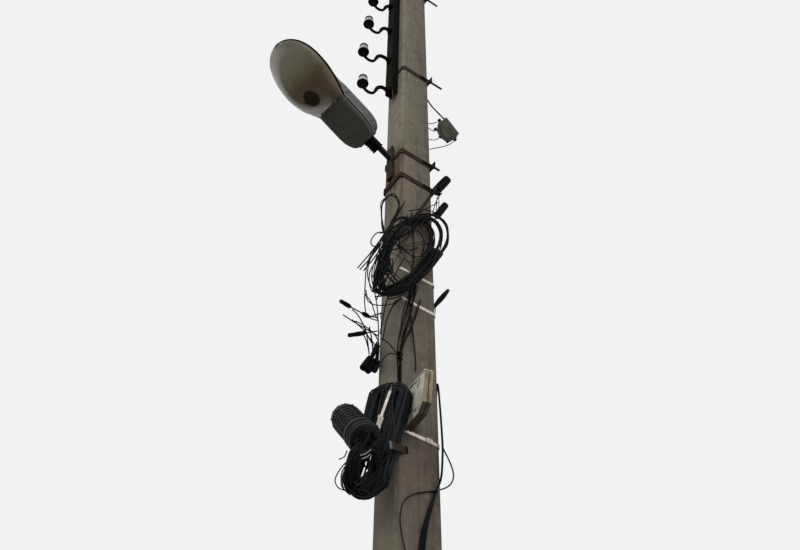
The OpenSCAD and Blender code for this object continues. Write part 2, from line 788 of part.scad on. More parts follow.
body_x = lid_d + fit;
module terminal_box() {
    lug_h = 50;
    lug_out = 22;
    color([0.78, 0.76, 0.68]) {
        box_frame() translate([body_x, 0, 0])
            difference() {
                translate([0, -box_w, -box_h / 2]) cube([box_d, box_w, box_h]);
                translate([-1, -box_w + box_wall, -box_h / 2 + box_wall])
                    cube([box_d - box_wall + 1, box_w - 2 * box_wall, box_h - 2 * box_wall]);
            }
        translate([box_x + body_x, face_y - fit - strap_t - lug_out, strap_box_z - lug_h / 2])
            cube([box_d - 2 * box_wall, lug_out, lug_h]);
    }
}

// The lid has a raised rim, a cut lower corner, a hole and two slots for its clips
module terminal_box_lid() {
    rim_w = 9;
    rim_out = 2;
    corner = 40;
    slot_w = 9;
    slot_deep = 5;
    color([0.80, 0.78, 0.70])
    box_frame()
        difference() {
            translate([0, -box_w, -box_h / 2]) cube([lid_d, box_w, box_h]);
            translate([-1, 0, 0]) rotate([90, 0, 90]) linear_extrude(rim_out + 1)
                polygon([[-box_w + rim_w, box_h / 2 - rim_w], [-rim_w, box_h / 2 - rim_w],
                         [-rim_w, rim_w - box_h / 2], [-box_w + corner + rim_w * 0.4, rim_w - box_h / 2],
                         [-box_w + rim_w, rim_w * 0.4 + corner - box_h / 2]]);
            translate([-1, -box_w, -box_h / 2]) rotate([45, 0, 0])
                translate([0, -corner, -corner / sqrt(2)]) cube([lid_d + 2, 2 * corner, corner * sqrt(2)]);
            translate([-1, -box_w + 26, 34]) cube([rim_out + 1 + slot_deep, slot_w, 34]);
            translate([-1, -box_w + 46, 58]) cube([rim_out + 1 + slot_deep, 52, slot_w]);
            translate([-1, -box_w + 62, -78]) rotate([0, 90, 0])
                cylinder(h = rim_out + 1 + slot_deep, d = 12);
        }
}

// A tube swept along its route's own points
function dots(a, b) = a * b;
function tangent(p, i) =
    unit(p[min(i + 1, len(p) - 1)] - p[max(i - 1, 0)]);
function next_normal(n, t) = unit(n - dots(n, t) * t);
function normals(p, n0, i = 0) =
    let (n = next_normal(n0, tangent(p, i)))
    i == len(p) - 1 ? [n] : concat([n], normals(p, n, i + 1));
module tube(p, d, side = [0, 1, 0], sides = 10) {
    ns = normals(p, side);
    pts = [for (i = [0 : len(p) - 1]) let (t = tangent(p, i), n = ns[i], b = cross(t, n))
              for (k = [0 : sides - 1]) p[i] + d / 2 * (cos(360 * k / sides) * n + sin(360 * k / sides) * b)];
    last = len(p) - 1;
    faces = concat(
        [[for (k = [0 : sides - 1]) k]],
        [[for (k = [sides - 1 : -1 : 0]) last * sides + k]],
        [for (i = [0 : last - 1], k = [0 : sides - 1]) let (q = (k + 1) % sides)
            each [[i * sides + k, (i + 1) * sides + k, i * sides + q],
                  [i * sides + q, (i + 1) * sides + k, (i + 1) * sides + q]]]);
    polyhedron(pts, faces, convexity = 8);
}

// Riser cables on the wide face, from their tie down to the ground, and a thin wire that joins them
riser_d = 14;
riser_x = -15;
riser_route = [[52, 0, 4222], [34, 0, 4120], [5, 0, 4000], [-12, 0, 3880],
               [riser_x, 0, 3700], [riser_x, 0, 20]];
thin_x = riser_x - 1.5 * riser_d - wire_d / 2 - 2 * fit;
thin_route = [[30, 0, 4214], [-30, -4, 4176], [-78, -10, 4130], [-108, -16, 4070], [-116, -16, 4000],
              [-98, -10, 3920], [-70, -3, 3850], [-50, 0, 3780], [thin_x, 0, 3690], [thin_x, 0, 20]];
module riser_cables() {
    color([0.07, 0.07, 0.07]) {
        for (k = [-1 : 1])
            translate([k * (riser_d + fit), face_y - fit - riser_d / 2, 0]) tube(riser_route, riser_d);
        translate([0, face_y - fit - wire_d / 2, 0]) tube(thin_route, wire_d);
    }
}

// Straps that hold the riser cables to the pole
riser_strap_z = [3100, 1900, 700];
module riser_straps() {
    slack = 3;
    out = riser_d + 2 * fit;
    left = thin_x - wire_d / 2 - slack;
    right = riser_x + 1.5 * riser_d + slack;
    color([0.70, 0.70, 0.68])
    for (z = riser_strap_z)
        difference() {
            union() {
                pole_band(z, strap_h, strap_t, 0);
                translate([left - strap_t, face_y - fit - out - strap_t, z - strap_h / 2])
                    cube([right - left + 2 * strap_t, out + strap_t, strap_h]);
            }
            translate([left, face_y - fit - out, z - strap_h])
                cube([right - left, out + strap_t + 2 * fit, 2 * strap_h]);
        }
}

side_d = 10;
side_route = [[0, 0, 5060], [2, 0, 4780], [5, 0, 4510], [8, -6, 4462], [36, -18, 4410], [50, -28, 4365],
              [40, -40, 4310], [10, -50, 4262], [-28, -51, 4236], [-46, -51, 4232]];
module side_run() {
    color([0.06, 0.06, 0.06])
    for (k = [0, 1])
        translate([half_w(side_route[0][2]) + side_d / 2 + fit, -54, 0])
            translate(k * (side_d + fit) * [0, 1, 0]) tube(side_route, side_d);
}

// Cables tied down the face's left edge to the coil, and one to the terminal box
down_route = [[-76, 0, 5268], [-86, 0, 5150], [-97, -6, 4970], [-104, -16, 4850], [-132, -26, 4775],
              [-150, -24, 4740], [-158, -22, 4715]];
box_lead_d = 10;
box_lead_route = [[-16, 0, 5280], [-6, 0, 5100], [-4, 0, 4920], [-30, -6, 4790], [-50, -14, 4713]];
module down_leads() {
    color([0.06, 0.06, 0.06])
    {
        for (k = [0, 1])
            translate([k * (cable_d + fit), face_y - fit - cable_d / 2, 0]) tube(down_route, cable_d);
        translate([0, face_y - fit - box_lead_d / 2, 0]) tube(box_lead_route, box_lead_d);
    }
}

// A wedge clamp for a drop cable, with its wire bail, from tail to nose
module wedge_clamp(a, b, d) {
    v = b - a;
    l = norm(v);
    translate(a) rotate([0, acos(v[2] / l), atan2(v[1], v[0])])
        rotate_extrude($fn = 24)
            polygon([[0.01, 0], [d * 0.3, 0], [d / 2, l * 0.35], [d / 2, l * 0.8], [d * 0.3, l], [0.01, l]]);
}

// Round wire between two points
module wire(a, b, d) {
    v = b - a;
    l = norm(v);
    translate(a) rotate([0, acos(v[2] / l), atan2(v[1], v[0])]) cylinder(h = l, d = d, $fn = 24);
}

stud_y = -(pole_d / 2 + fit + band_t + stud_d / 2 - 1);
lamp_stud_end = half_w(lamp_lower_z - tie_plate_h / 2) + fit + lamp_stud_out;

// A wedge clamp held by its bail from an anchor point
// The bail's direction and length come first, then the clamp's direction
module hung_clamp(anchor, bail_way, bail_len, way, d) {
    tail = anchor + bail_len * unit(bail_way);
    wedge_clamp(tail, tail + wedge_len * unit(way), d);
    wire(anchor, tail + 6 * unit(way), bail_d);
}

// Eye round the lamp clamp's front stud, from which a bail leaves
module stud_eye(x) {
    eye_w = 6;
    eye_d = stud_d + 2 * fit + 2 * bail_d;
    difference() {
        rod_x(x - eye_w / 2, x + eye_w / 2, stud_y, lamp_lower_z, eye_d);
        rod_x(x - eye_w, x + eye_w, stud_y, lamp_lower_z, stud_d + 2 * fit);
    }
}

module anchor_clamps_right() {
    rim = stud_d / 2 + fit + bail_d / 2;
    eyes = [lamp_stud_end - 8, lamp_stud_end - 18];
    strap_side = half_w(strap_middle_z) + 2 * fit + strap_t + bail_d / 2;
    color([0.05, 0.05, 0.05]) {
        for (x = eyes) stud_eye(x);
        hung_clamp([eyes[0], stud_y, lamp_lower_z + rim], [7, 40, 71], 82, [0.44, 0, 0.9], wedge_d);
        hung_clamp([eyes[1], stud_y, lamp_lower_z - rim], [18, 40, -151], 157, [0.4, 0, 0.92], small_wedge_d);
        hung_clamp([strap_side, -60, strap_middle_z], [13, 0, 108], 109, [0.46, 0, 0.89], small_wedge_d);
    }
}

module anchor_clamps_left() {
    strap_side = -(half_w(strap_middle_z) + 2 * fit + strap_t + bail_d / 2);
    color([0.05, 0.05, 0.05]) {
        hung_clamp([strap_side, 60, strap_middle_z], [-48, 0, -98], 109, [0, 0.56, 0.83], small_wedge_d);
        hung_clamp([strap_side, 30, strap_middle_z], [-48, 10, -240], 245, [0, 0.78, 0.63], small_wedge_d);
    }
}

// Small box that hangs on its lead at the right
splice_at = [245, -60, 7185];
splice_turn = 45;
function on_splice(p) = splice_at + [p[0] * cos(splice_turn) - p[2] * sin(splice_turn), p[1],
                                     p[0] * sin(splice_turn) + p[2] * cos(splice_turn)];
module splice_box() {
    color([0.26, 0.29, 0.26])
    translate(splice_at) rotate([0, -splice_turn, 0]) cube([splice_w, splice_t, splice_len], center = true);
}

// The lead that the box hangs on, and three thin ones from the pole's right face to its side
hang_d = 10;
thin_lead_z = [7215, 7135, 7000];
module splice_box_leads() {
    top_z = 7490;
    hw = half_w(top_z) + fit;
    side_x = -splice_w / 2 - fit;
    color([0.08, 0.08, 0.08]) {
        tube([[hw, -60, top_z], [hw + 8, -60, top_z], [130, -60, top_z - 35], [160, -60, top_z - 90],
              on_splice([0, 0, splice_len / 2 + 30]), on_splice([0, 0, splice_len / 2 + fit])], hang_d);
        for (k = [0 : 2])
            let (z = thin_lead_z[k], up = 32 - 32 * k,
                 a = [half_w(z) + fit, -40, z], b = on_splice([side_x, 0, up]))
                tube([a, a + [10, 0, 0], lerp(a, b, 0.45) + [0, -6, -10 - 8 * k],
                      on_splice([side_x - 12, 0, up]), b],
                     wire_d, [0, 1, 0], 8);
    }
}

concrete_pole();
hook_channel();
hook(1);  // hook_1
hook(2);  // hook_2
hook(3);  // hook_3
hook(4);  // hook_4
hook(5);  // hook_5
insulator(1);  // insulator_1
insulator(2);  // insulator_2
insulator(3);  // insulator_3
insulator(4);  // insulator_4
insulator(5);  // insulator_5
stud_clamp_lower();  // channel_clamp_lower
stud_clamp_upper();  // channel_clamp_upper
lamp_clamp_upper();
lamp_clamp_lower();
lamp_bracket();
lamp_arm();
lamp_neck();
lamp_cover();
lamp_gear_tray();
lamp_reflector();
lamp_bulb();
lamp_bowl();
strap_top();
strap_middle();
strap_box();
slack_loops();
lower_coil();
coil_hook();
closure_dome();
closure_base();
closure_hanger();
closure_leads();
down_leads();
terminal_box();
terminal_box_lid();
riser_cables();
riser_straps();
side_run();
anchor_clamps_right();
anchor_clamps_left();
splice_box();
splice_box_leads();
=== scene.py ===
"""Looks of the concrete utility pole: materials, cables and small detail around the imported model."""

import json
import math
import random

import bpy
from mathutils import Matrix, Vector

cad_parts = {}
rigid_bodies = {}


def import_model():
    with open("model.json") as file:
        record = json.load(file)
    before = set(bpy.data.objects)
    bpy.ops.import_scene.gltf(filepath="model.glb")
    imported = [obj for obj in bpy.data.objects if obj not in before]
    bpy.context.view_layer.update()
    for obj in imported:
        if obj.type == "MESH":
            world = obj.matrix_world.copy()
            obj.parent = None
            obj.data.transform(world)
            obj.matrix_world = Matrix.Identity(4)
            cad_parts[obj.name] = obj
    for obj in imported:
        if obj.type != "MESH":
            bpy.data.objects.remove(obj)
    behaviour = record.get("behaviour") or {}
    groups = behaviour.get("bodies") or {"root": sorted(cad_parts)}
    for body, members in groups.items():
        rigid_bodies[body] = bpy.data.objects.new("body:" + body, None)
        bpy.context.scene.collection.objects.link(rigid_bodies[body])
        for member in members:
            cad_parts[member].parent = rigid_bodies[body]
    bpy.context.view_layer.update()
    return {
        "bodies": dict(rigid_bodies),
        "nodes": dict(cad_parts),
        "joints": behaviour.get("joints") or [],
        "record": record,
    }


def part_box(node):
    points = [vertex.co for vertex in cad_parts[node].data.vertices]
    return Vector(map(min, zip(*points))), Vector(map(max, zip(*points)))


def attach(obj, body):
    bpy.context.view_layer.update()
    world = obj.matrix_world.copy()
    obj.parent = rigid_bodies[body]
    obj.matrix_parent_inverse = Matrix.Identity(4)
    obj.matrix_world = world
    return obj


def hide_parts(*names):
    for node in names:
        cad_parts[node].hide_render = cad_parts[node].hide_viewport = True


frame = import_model()
NODES = frame["nodes"]
rng = random.Random(11)

# Camera and stage

CAMERA_AT = Vector((-2.15197, -2.97654, 1.60))
CAMERA_TILT, CAMERA_TURN, CAMERA_ROLL = math.radians(138), math.radians(-35.2), math.radians(0.60)
FOCAL_PX, SENSOR_MM = 1008.0, 36.0
IMAGE_W, IMAGE_H = 800, 550


def camera_matrix():
    turn = Matrix.Rotation(CAMERA_TURN, 4, "Z") @ Matrix.Rotation(CAMERA_TILT, 4, "X")
    return Matrix.Translation(CAMERA_AT) @ turn @ Matrix.Rotation(CAMERA_ROLL, 4, "Z")


def pixel_ray(px, py):
    """Direction from the camera through a point of the 800 by 550 picture."""
    local = Vector(((px - IMAGE_W / 2) / FOCAL_PX, (IMAGE_H / 2 - py) / FOCAL_PX, -1.0))
    return (camera_matrix().to_3x3() @ local).normalized()


def on_plane(px, py, point, normal):
    ray = pixel_ray(px, py)
    t = (Vector(point) - CAMERA_AT).dot(normal) / ray.dot(normal)
    return CAMERA_AT + ray * t


def on_y(px, py, y):
    return on_plane(px, py, (0, y, 0), Vector((0, 1, 0)))


def make_camera():
    data = bpy.data.cameras.new("camera")
    data.sensor_width = SENSOR_MM
    data.lens = SENSOR_MM * FOCAL_PX / IMAGE_W
    data.clip_end = 200
    cam = bpy.data.objects.new("camera", data)
    cam.matrix_world = camera_matrix()
    bpy.context.scene.collection.objects.link(cam)
    bpy.context.scene.camera = cam


# Node helpers


class Nodes:
    """Short names for the shader nodes that the materials use."""

    def __init__(self, name):
        self.mat = bpy.data.materials.new(name)
        self.mat.use_nodes = True
        self.tree = self.mat.node_tree
        self.bsdf = self.tree.nodes["Principled BSDF"]
        self.coord = self.add("ShaderNodeTexCoord")
        self.geo = self.add("ShaderNodeNewGeometry")

    def add(self, kind, **values):
        node = self.tree.nodes.new(kind)
        for k, v in values.items():
            setattr(node, k, v)
        return node

    def link(self, a, b):
        self.tree.links.new(a, b)

    def put(self, socket, value):
        if isinstance(value, bpy.types.NodeSocket):
            self.link(value, socket)
        elif hasattr(value, "__len__") and len(value) == 3 and len(socket.default_value) == 4:
            socket.default_value = (*value, 1)
        else:
            socket.default_value = value

    def noise(self, scale, detail=4, rough=0.55, stretch=(1, 1, 1)):
        m = self.add("ShaderNodeMapping")
        self.link(self.coord.outputs["Object"], m.inputs["Vector"])
        m.inputs["Scale"].default_value = stretch
        n = self.add("ShaderNodeTexNoise")
        self.link(m.outputs["Vector"], n.inputs["Vector"])
        n.inputs["Scale"].default_value = scale
        n.inputs["Detail"].default_value = detail
        n.inputs["Roughness"].default_value = rough
        return n.outputs["Fac"]

    def cells(self, scale):
        n = self.add("ShaderNodeTexVoronoi")
        self.link(self.coord.outputs["Object"], n.inputs["Vector"])
        n.inputs["Scale"].default_value = scale
        return n.outputs["Distance"]

    def ramp(self, fac, low, high):
        """0 below low, 1 above high, straight between; low may be above high."""
        n = self.add("ShaderNodeMapRange")
        n.clamp = True
        self.put(n.inputs["Value"], fac)
        n.inputs["From Min"].default_value = low
        n.inputs["From Max"].default_value = high
        return n.outputs["Result"]

    def math(self, op, a, b=0.0):
        n = self.add("ShaderNodeMath", operation=op)
        self.put(n.inputs[0], a)
        self.put(n.inputs[1], b)
        return n.outputs[0]

    def plus(self, a, b):
        return self.math("ADD", a, b)

    def minus(self, a, b):
        return self.math("SUBTRACT", a, b)

    def mul(self, *values):
        out = values[0]
        for v in values[1:]:
            out = self.math("MULTIPLY", out, v)
        return out

    def mix(self, fac, a, b):
        n = self.add("ShaderNodeMix", data_type="RGBA")
        self.put(n.inputs["Factor"], fac)
        self.put(n.inputs[6], a)
        self.put(n.inputs[7], b)
        return n.outputs[2]

    def tint(self, color, value, low, high, over, share=None):
        """Another colour over this one where a value runs from low to high, by at most a share."""
        amount = self.ramp(value, low, high)
        return self.mix(amount if share is None else self.mul(amount, share), color, over)

    def axis(self, vector, axis):
        n = self.add("ShaderNodeSeparateXYZ")
        self.link(vector, n.inputs[0])
        return n.outputs["XYZ".index(axis)]

    def at(self, axis):
        return self.axis(self.coord.outputs["Object"], axis)

    def facing(self, way):
        """How far the surface faces a direction."""
        n = self.add("ShaderNodeVectorMath", operation="DOT_PRODUCT")
        self.link(self.geo.outputs["Normal"], n.inputs[0])
        n.inputs[1].default_value = way
        return n.outputs["Value"]

    def normal(self, axis):
        return self.axis(self.geo.outputs["Normal"], axis)

    def bump(self, height, strength, distance):
        n = self.add("ShaderNodeBump")
        n.inputs["Strength"].default_value = strength
        n.inputs["Distance"].default_value = distance
        self.link(height, n.inputs["Height"])
        return n.outputs["Normal"]

    def finish(self, color, rough=0.6, normal=None, metal=0.0, **sockets):
        self.put(self.bsdf.inputs["Base Color"], color)
        self.put(self.bsdf.inputs["Roughness"], rough)
        self.put(self.bsdf.inputs["Metallic"], metal)
        if normal is not None:
            self.link(normal, self.bsdf.inputs["Normal"])
        for k, v in sockets.items():
            self.put(self.bsdf.inputs[k.replace("_", " ")], v)
        return self.mat


# Materials

# Colours are linear red, green and blue, and noise scales are per metre.


def band(n, value, centre, half):
    """1 at the centre of a stretch, 0 outside it."""
    off = n.math("ABSOLUTE", n.minus(value, centre))
    return n.ramp(off, half, half * 0.35)


def concrete():
    n = Nodes("concrete")
    streaks = n.noise(9.0, 5, 0.6, stretch=(1, 1, 0.08))
    fine_streaks = n.noise(42.0, 3, 0.5, stretch=(1, 1, 0.05))
    blotch = n.noise(9.0, 6, 0.62)
    grain = n.noise(260.0, 3, 0.6)
    color = n.tint((0.240, 0.192, 0.142), streaks, 0.40, 0.60, (0.206, 0.188, 0.134))
    color = n.tint(color, blotch, 0.42, 0.72, (0.150, 0.120, 0.085))
    color = n.tint(color, fine_streaks, 0.52, 0.68, (0.090, 0.080, 0.058), 0.62)
    color = n.tint(color, n.noise(23.0, 5, 0.6), 0.52, 0.68, (0.330, 0.285, 0.230), 0.6)
    # painted light: the face is paler towards the left, where the key light comes from, and a little darker
    # towards the right
    color = n.tint(n.mix(0.06, color, (0.02, 0.02, 0.02)), n.at("X"), 0.10, -0.11,
                   n.mix(0.16, color, (0.62, 0.58, 0.46)))
    # the lower stretch is more weathered
    color = n.tint(color, n.at("Z"), 6.4, 4.4, (0.118, 0.088, 0.062), 0.30)
    color = n.tint(n.mix(0.3, color, (0.03, 0.03, 0.03)), grain, 0.30, 0.75, color)
    pores = n.ramp(n.cells(150.0), 0.16, 0.05)
    color = n.mix(n.mul(pores, n.ramp(n.noise(40.0, 2), 0.5, 0.6)), color, (0.045, 0.040, 0.033))
    # painted light: the arris towards the light is paler, in a mottle, and painted shade: the one away from
    # the light is darker
    slant = n.mul(n.math("ABSOLUTE", n.normal("X")), n.math("ABSOLUTE", n.normal("Y")))
    arris = n.ramp(slant, 0.30, 0.45)
    mottle = n.ramp(n.noise(30.0, 5, 0.65), 0.40, 0.60)
    color = n.mix(n.mul(arris, n.ramp(n.normal("X"), 0.1, -0.1), mottle, 0.50), color, (0.300, 0.280, 0.220))
    color = n.mix(n.mul(arris, n.ramp(n.normal("X"), -0.1, 0.1), 0.75), color, (0.050, 0.048, 0.036))
    # rust and painted shade on the face under the terminal box, and rust below the lamp's bracket
    rust_and_shade = n.mul(band(n, n.at("X"), -0.045, 0.075), n.ramp(n.at("Z"), 4.40, 4.52),
                  n.ramp(n.at("Z"), 4.72, 4.60),
                  n.ramp(n.normal("Y"), -0.2, -0.6), n.ramp(blotch, 0.25, 0.5))
    color = n.mix(n.mul(rust_and_shade, 0.85), color, (0.040, 0.026, 0.014))
    runs = n.mul(n.ramp(n.at("Z"), 5.9, 6.35), n.ramp(n.at("Z"), 6.80, 6.70),
                 n.ramp(n.normal("X"), -0.1, -0.5),
                 n.ramp(fine_streaks, 0.40, 0.60))
    color = n.mix(n.mul(runs, 0.7), color, (0.090, 0.052, 0.026))
    rough = n.plus(0.82, n.mul(grain, 0.14))
    height = n.plus(n.mul(grain, 0.5), n.minus(n.mul(blotch, 0.6), n.mul(pores, 0.8)))
    return n.finish(color, rough, n.bump(height, 0.6, 0.003), Specular_IOR_Level=0.2)


def old_paint(name, base, worn, rust, rust_share, rough, gloss):
    """Painted or galvanised steel that has gone dull, with rust in patches."""
    n = Nodes(name)
    patch = n.noise(16.0, 6, 0.65)
    fine = n.noise(120.0, 5, 0.6)
    runs = n.noise(60.0, 3, 0.5, stretch=(1, 1, 0.15))
    color = n.tint(base, fine, 0.35, 0.7, worn)
    amount = n.ramp(n.plus(n.mul(patch, 0.7), n.mul(runs, 0.4)), rust_share + 0.10, rust_share - 0.06)
    color = n.mix(amount, color, n.tint(rust, fine, 0.4, 0.65, tuple(c * 0.45 for c in rust)))
    color = n.tint(color, n.normal("Z"), 0.1, 0.7, (0.105, 0.092, 0.074), 0.6)
    height = n.plus(n.mul(fine, 0.5), n.mul(amount, 0.4))
    return n.finish(color, n.plus(rough, n.mul(amount, 0.3)), n.bump(height, 0.5, 0.0012), 0.0,
                    Specular_IOR_Level=gloss)


def arm_paint():
    """The lamp's tube arm: dusty grey brown from its sides up, and nearly black below, a painted shade."""
    n = Nodes("arm_steel")
    fine = n.noise(90.0, 5, 0.6)
    side = n.ramp(n.plus(n.normal("Z"), n.mul(n.minus(fine, 0.5), 0.3)), -0.62, -0.20)
    color = n.mix(side, (0.006, 0.005, 0.004), n.mix(fine, (0.170, 0.140, 0.105), (0.090, 0.072, 0.054)))
    return n.finish(color, 0.7, n.bump(fine, 0.4, 0.001), Specular_IOR_Level=0.15)


def steel_strap():
    n = Nodes("bright_strap")
    fine = n.noise(90.0, 4, 0.6, stretch=(1, 1, 6))
    dull = n.noise(14.0, 5, 0.6)
    color = n.tint((0.74, 0.69, 0.62), dull, 0.42, 0.66, (0.34, 0.29, 0.24))
    color = n.tint(color, fine, 0.5, 0.75, (0.36, 0.32, 0.27))
    # the upper straps are rusty where they cross the narrow face
    narrow = n.mul(n.ramp(n.facing((-1, 0, 0)), 0.7, 0.95), n.ramp(n.at("Z"), 5.0, 5.1))
    color = n.mix(n.mul(narrow, 0.92), color, (0.070, 0.042, 0.022))
    return n.finish(color, n.plus(0.32, n.mul(dull, 0.3)), n.bump(fine, 0.2, 0.0005), 0.55)


def glass_insulator():
    n = Nodes("insulator_glass")
    dirt = n.noise(70.0, 5, 0.6)
    # painted shade, with dirt: the faces that look down, in the hollow underside, are nearly black
    down = n.ramp(n.normal("Z"), -0.15, -0.55)
    color = n.tint((0.62, 0.64, 0.62), dirt, 0.35, 0.75, (0.30, 0.31, 0.30))
    color = n.mix(down, color, (0.008, 0.008, 0.008))
    return n.finish(color, n.plus(0.14, n.mul(dirt, 0.25)), n.bump(dirt, 0.15, 0.0008),
                    Transmission_Weight=0.35, IOR=1.5)


def cable(name, base, sheen, rough, gloss):
    n = Nodes(name)
    dust_and_sheen = n.noise(45.0, 5, 0.62)
    fine = n.noise(400.0, 2, 0.5)
    # dust with painted sheen: the black runs to the lighter sheen colour in patches, and the upper sides get
    # a lighter grey as a painted highlight
    up = n.ramp(n.normal("Z"), 0.0, 0.9)
    color = n.tint(base, dust_and_sheen, 0.42, 0.7, sheen, 0.8)
    color = n.mix(n.mul(up, 0.30), color, (0.060, 0.060, 0.058))
    return n.finish(color, n.plus(rough, n.mul(dust_and_sheen, 0.28)), n.bump(fine, 0.25, 0.0004),
                    Specular_IOR_Level=gloss)


def lamp_paint():
    n = Nodes("lamp_paint")
    along = n.noise(30.0, 4, 0.6, stretch=(0.25, 1, 1))
    grime = n.noise(8.0, 6, 0.65)
    color = n.tint((0.180, 0.178, 0.168), grime, 0.40, 0.70, (0.110, 0.107, 0.098))
    color = n.tint(color, along, 0.52, 0.72, (0.075, 0.072, 0.063))
    # painted shade: the faces that look down are darker
    down = n.ramp(n.normal("Z"), 0.0, -0.5)
    color = n.mix(n.mul(down, 0.8), color, (0.018, 0.016, 0.013))
    return n.finish(color, n.plus(0.45, n.mul(grime, 0.3)), n.bump(along, 0.25, 0.001))


def tray_paint():
    n = Nodes("tray_paint")
    speck = n.noise(150.0, 6, 0.72)
    grime = n.noise(14.0, 6, 0.65)
    # painted shade: the underside, which looks down, is dark brown, and the side walls are grey
    down = n.ramp(n.normal("Z"), -0.55, -0.93)
    side = n.tint((0.098, 0.097, 0.095), grime, 0.4, 0.7, (0.050, 0.049, 0.046))
    under = n.tint((0.036, 0.031, 0.022), grime, 0.35, 0.65, (0.020, 0.017, 0.012))
    color = n.mix(down, side, under)
    color = n.tint(color, speck, 0.54, 0.66, (0.150, 0.138, 0.108), 0.8)
    color = n.tint(color, speck, 0.40, 0.30, (0.010, 0.009, 0.008), 0.8)
    return n.finish(color, 0.75, n.bump(n.plus(speck, n.mul(grime, 0.4)), 0.7, 0.003))


def bowl_plastic():
    """Milky plastic with dirt and one dark heap in its bottom; its far side and tip are free of dirt, and the
    far side is painted pale, as light from the sky through its thin wall.
    """
    n = Nodes("bowl_plastic")
    cloud = n.noise(7.0, 5, 0.6)
    streak = n.noise(24.0, 4, 0.6, stretch=(0.5, 1, 1))
    fine = n.noise(180.0, 3, 0.5)
    to_lamp = n.add("ShaderNodeMapping", vector_type="POINT")
    inverse = LAMP.inverted()
    to_lamp.inputs["Location"].default_value = inverse.translation
    to_lamp.inputs["Rotation"].default_value = inverse.to_euler("XYZ")
    n.link(n.coord.outputs["Object"], to_lamp.inputs["Vector"])
    v, y = n.axis(to_lamp.outputs[0], "X"), n.axis(to_lamp.outputs[0], "Y")

    def oval(centre_v, centre_y, half_v, half_y):
        dv = n.math("DIVIDE", n.minus(v, centre_v), half_v)
        dy = n.math("DIVIDE", n.minus(y, centre_y), half_y)
        return n.math("SQRT", n.plus(n.mul(dv, dv), n.mul(dy, dy)))

    out = n.plus(oval(WIDE_V - 0.01, 0, BOWL_LEN * 0.54, LAMP_W / 2),
                 n.mul(n.minus(cloud, 0.5), 0.10))
    # painted light: the far side's outer band is pale milk, as if lit through by the sky, and free of dirt
    clean_and_sky_lit = n.mul(n.ramp(out, 0.64, 0.88), n.ramp(y, 0.07, -0.03))
    tip = n.mul(n.ramp(v, 0.50, 0.74), 0.85)
    milk = n.tint((0.95, 0.95, 0.88), streak, 0.35, 0.7, (0.82, 0.82, 0.74))
    dirt = n.tint((0.185, 0.155, 0.108), cloud, 0.38, 0.66, (0.140, 0.115, 0.078))
    dirt = n.tint(dirt, streak, 0.45, 0.75, (0.210, 0.185, 0.135), 0.6)
    dirt = n.mix(tip, dirt, (0.420, 0.405, 0.310))
    dirt = n.tint(dirt, v, 0.40, 0.31, (0.200, 0.155, 0.115), 0.8)
    color = n.mix(clean_and_sky_lit, dirt, milk)
    heap_off = n.plus(oval(HEAP_AT[0], HEAP_AT[1], HEAP_SIZE[0], HEAP_SIZE[1]),
                      n.mul(n.minus(n.noise(30.0, 3), 0.5), 0.55))
    color = n.tint(color, heap_off, 1.12, 0.90, (0.034, 0.022, 0.013), 0.96)
    return n.finish(color, n.plus(0.30, n.mul(cloud, 0.25)), n.bump(fine, 0.12, 0.0006),
                    Transmission_Weight=n.mul(clean_and_sky_lit, 0.45), IOR=1.1, Specular_IOR_Level=0.3,
                    Sheen_Weight=clean_and_sky_lit, Sheen_Roughness=0.6)


def plain_plastic(name, base, worn, rough, gloss):
    n = Nodes(name)
    grime = n.noise(22.0, 6, 0.65)
    fine = n.noise(260.0, 3, 0.55)
    color = n.tint(base, grime, 0.40, 0.72, worn)
    color = n.tint(color, fine, 0.55, 0.8, tuple(c * 0.6 for c in worn), 0.4)
    return n.finish(color, n.plus(rough, n.mul(grime, 0.25)), n.bump(fine, 0.3, 0.0006),
                    Specular_IOR_Level=gloss)


def box_plastic():
    """Cream plastic: pale face, brown edges with tan streaks, and a dark underside of painted shade and dirt.
    """
    n = Nodes("box_cream")
    grime = n.noise(26.0, 6, 0.65)
    runs = n.noise(70.0, 4, 0.6, stretch=(1, 1, 0.12))
    color = n.tint((0.62, 0.60, 0.48), grime, 0.42, 0.70, (0.42, 0.40, 0.31))
    color = n.tint(color, runs, 0.54, 0.72, (0.20, 0.17, 0.12), 0.65)
    low = n.mul(n.ramp(n.at("Z"), 4.56, 4.47), n.ramp(grime, 0.3, 0.6))
    color = n.mix(n.mul(low, 0.5), color, (0.12, 0.09, 0.060))
    front = n.ramp(n.facing(BOX.to_3x3() @ Vector((0, -1, 0))), 0.6, 0.9)
    brown = n.tint((0.430, 0.310, 0.190), runs, 0.40, 0.62, (0.200, 0.150, 0.090))
    color = n.mix(n.mul(front, 0.85), color, brown)
    # painted shade, with dirt: the underside is dark brown
    down = n.ramp(n.normal("Z"), -0.25, -0.6)
    color = n.mix(n.mul(down, 0.9), color, (0.050, 0.034, 0.020))
    return n.finish(color, 0.55, n.bump(grime, 0.25, 0.0012), Specular_IOR_Level=0.3)


def reflector_metal():
    n = Nodes("reflector_metal")
    haze = n.noise(30.0, 4, 0.6)
    return n.finish(n.tint((0.62, 0.62, 0.60), haze, 0.4, 0.7, (0.40, 0.40, 0.38)),
                    n.plus(0.25, n.mul(haze, 0.3)), n.bump(haze, 0.1, 0.001), 0.9)


def bulb_glass():
    n = Nodes("bulb_glass")
    haze = n.noise(60.0, 3, 0.5)
    return n.finish(n.tint((0.80, 0.80, 0.76), haze, 0.4, 0.7, (0.62, 0.62, 0.58)),
                    0.25, n.bump(haze, 0.08, 0.0005))


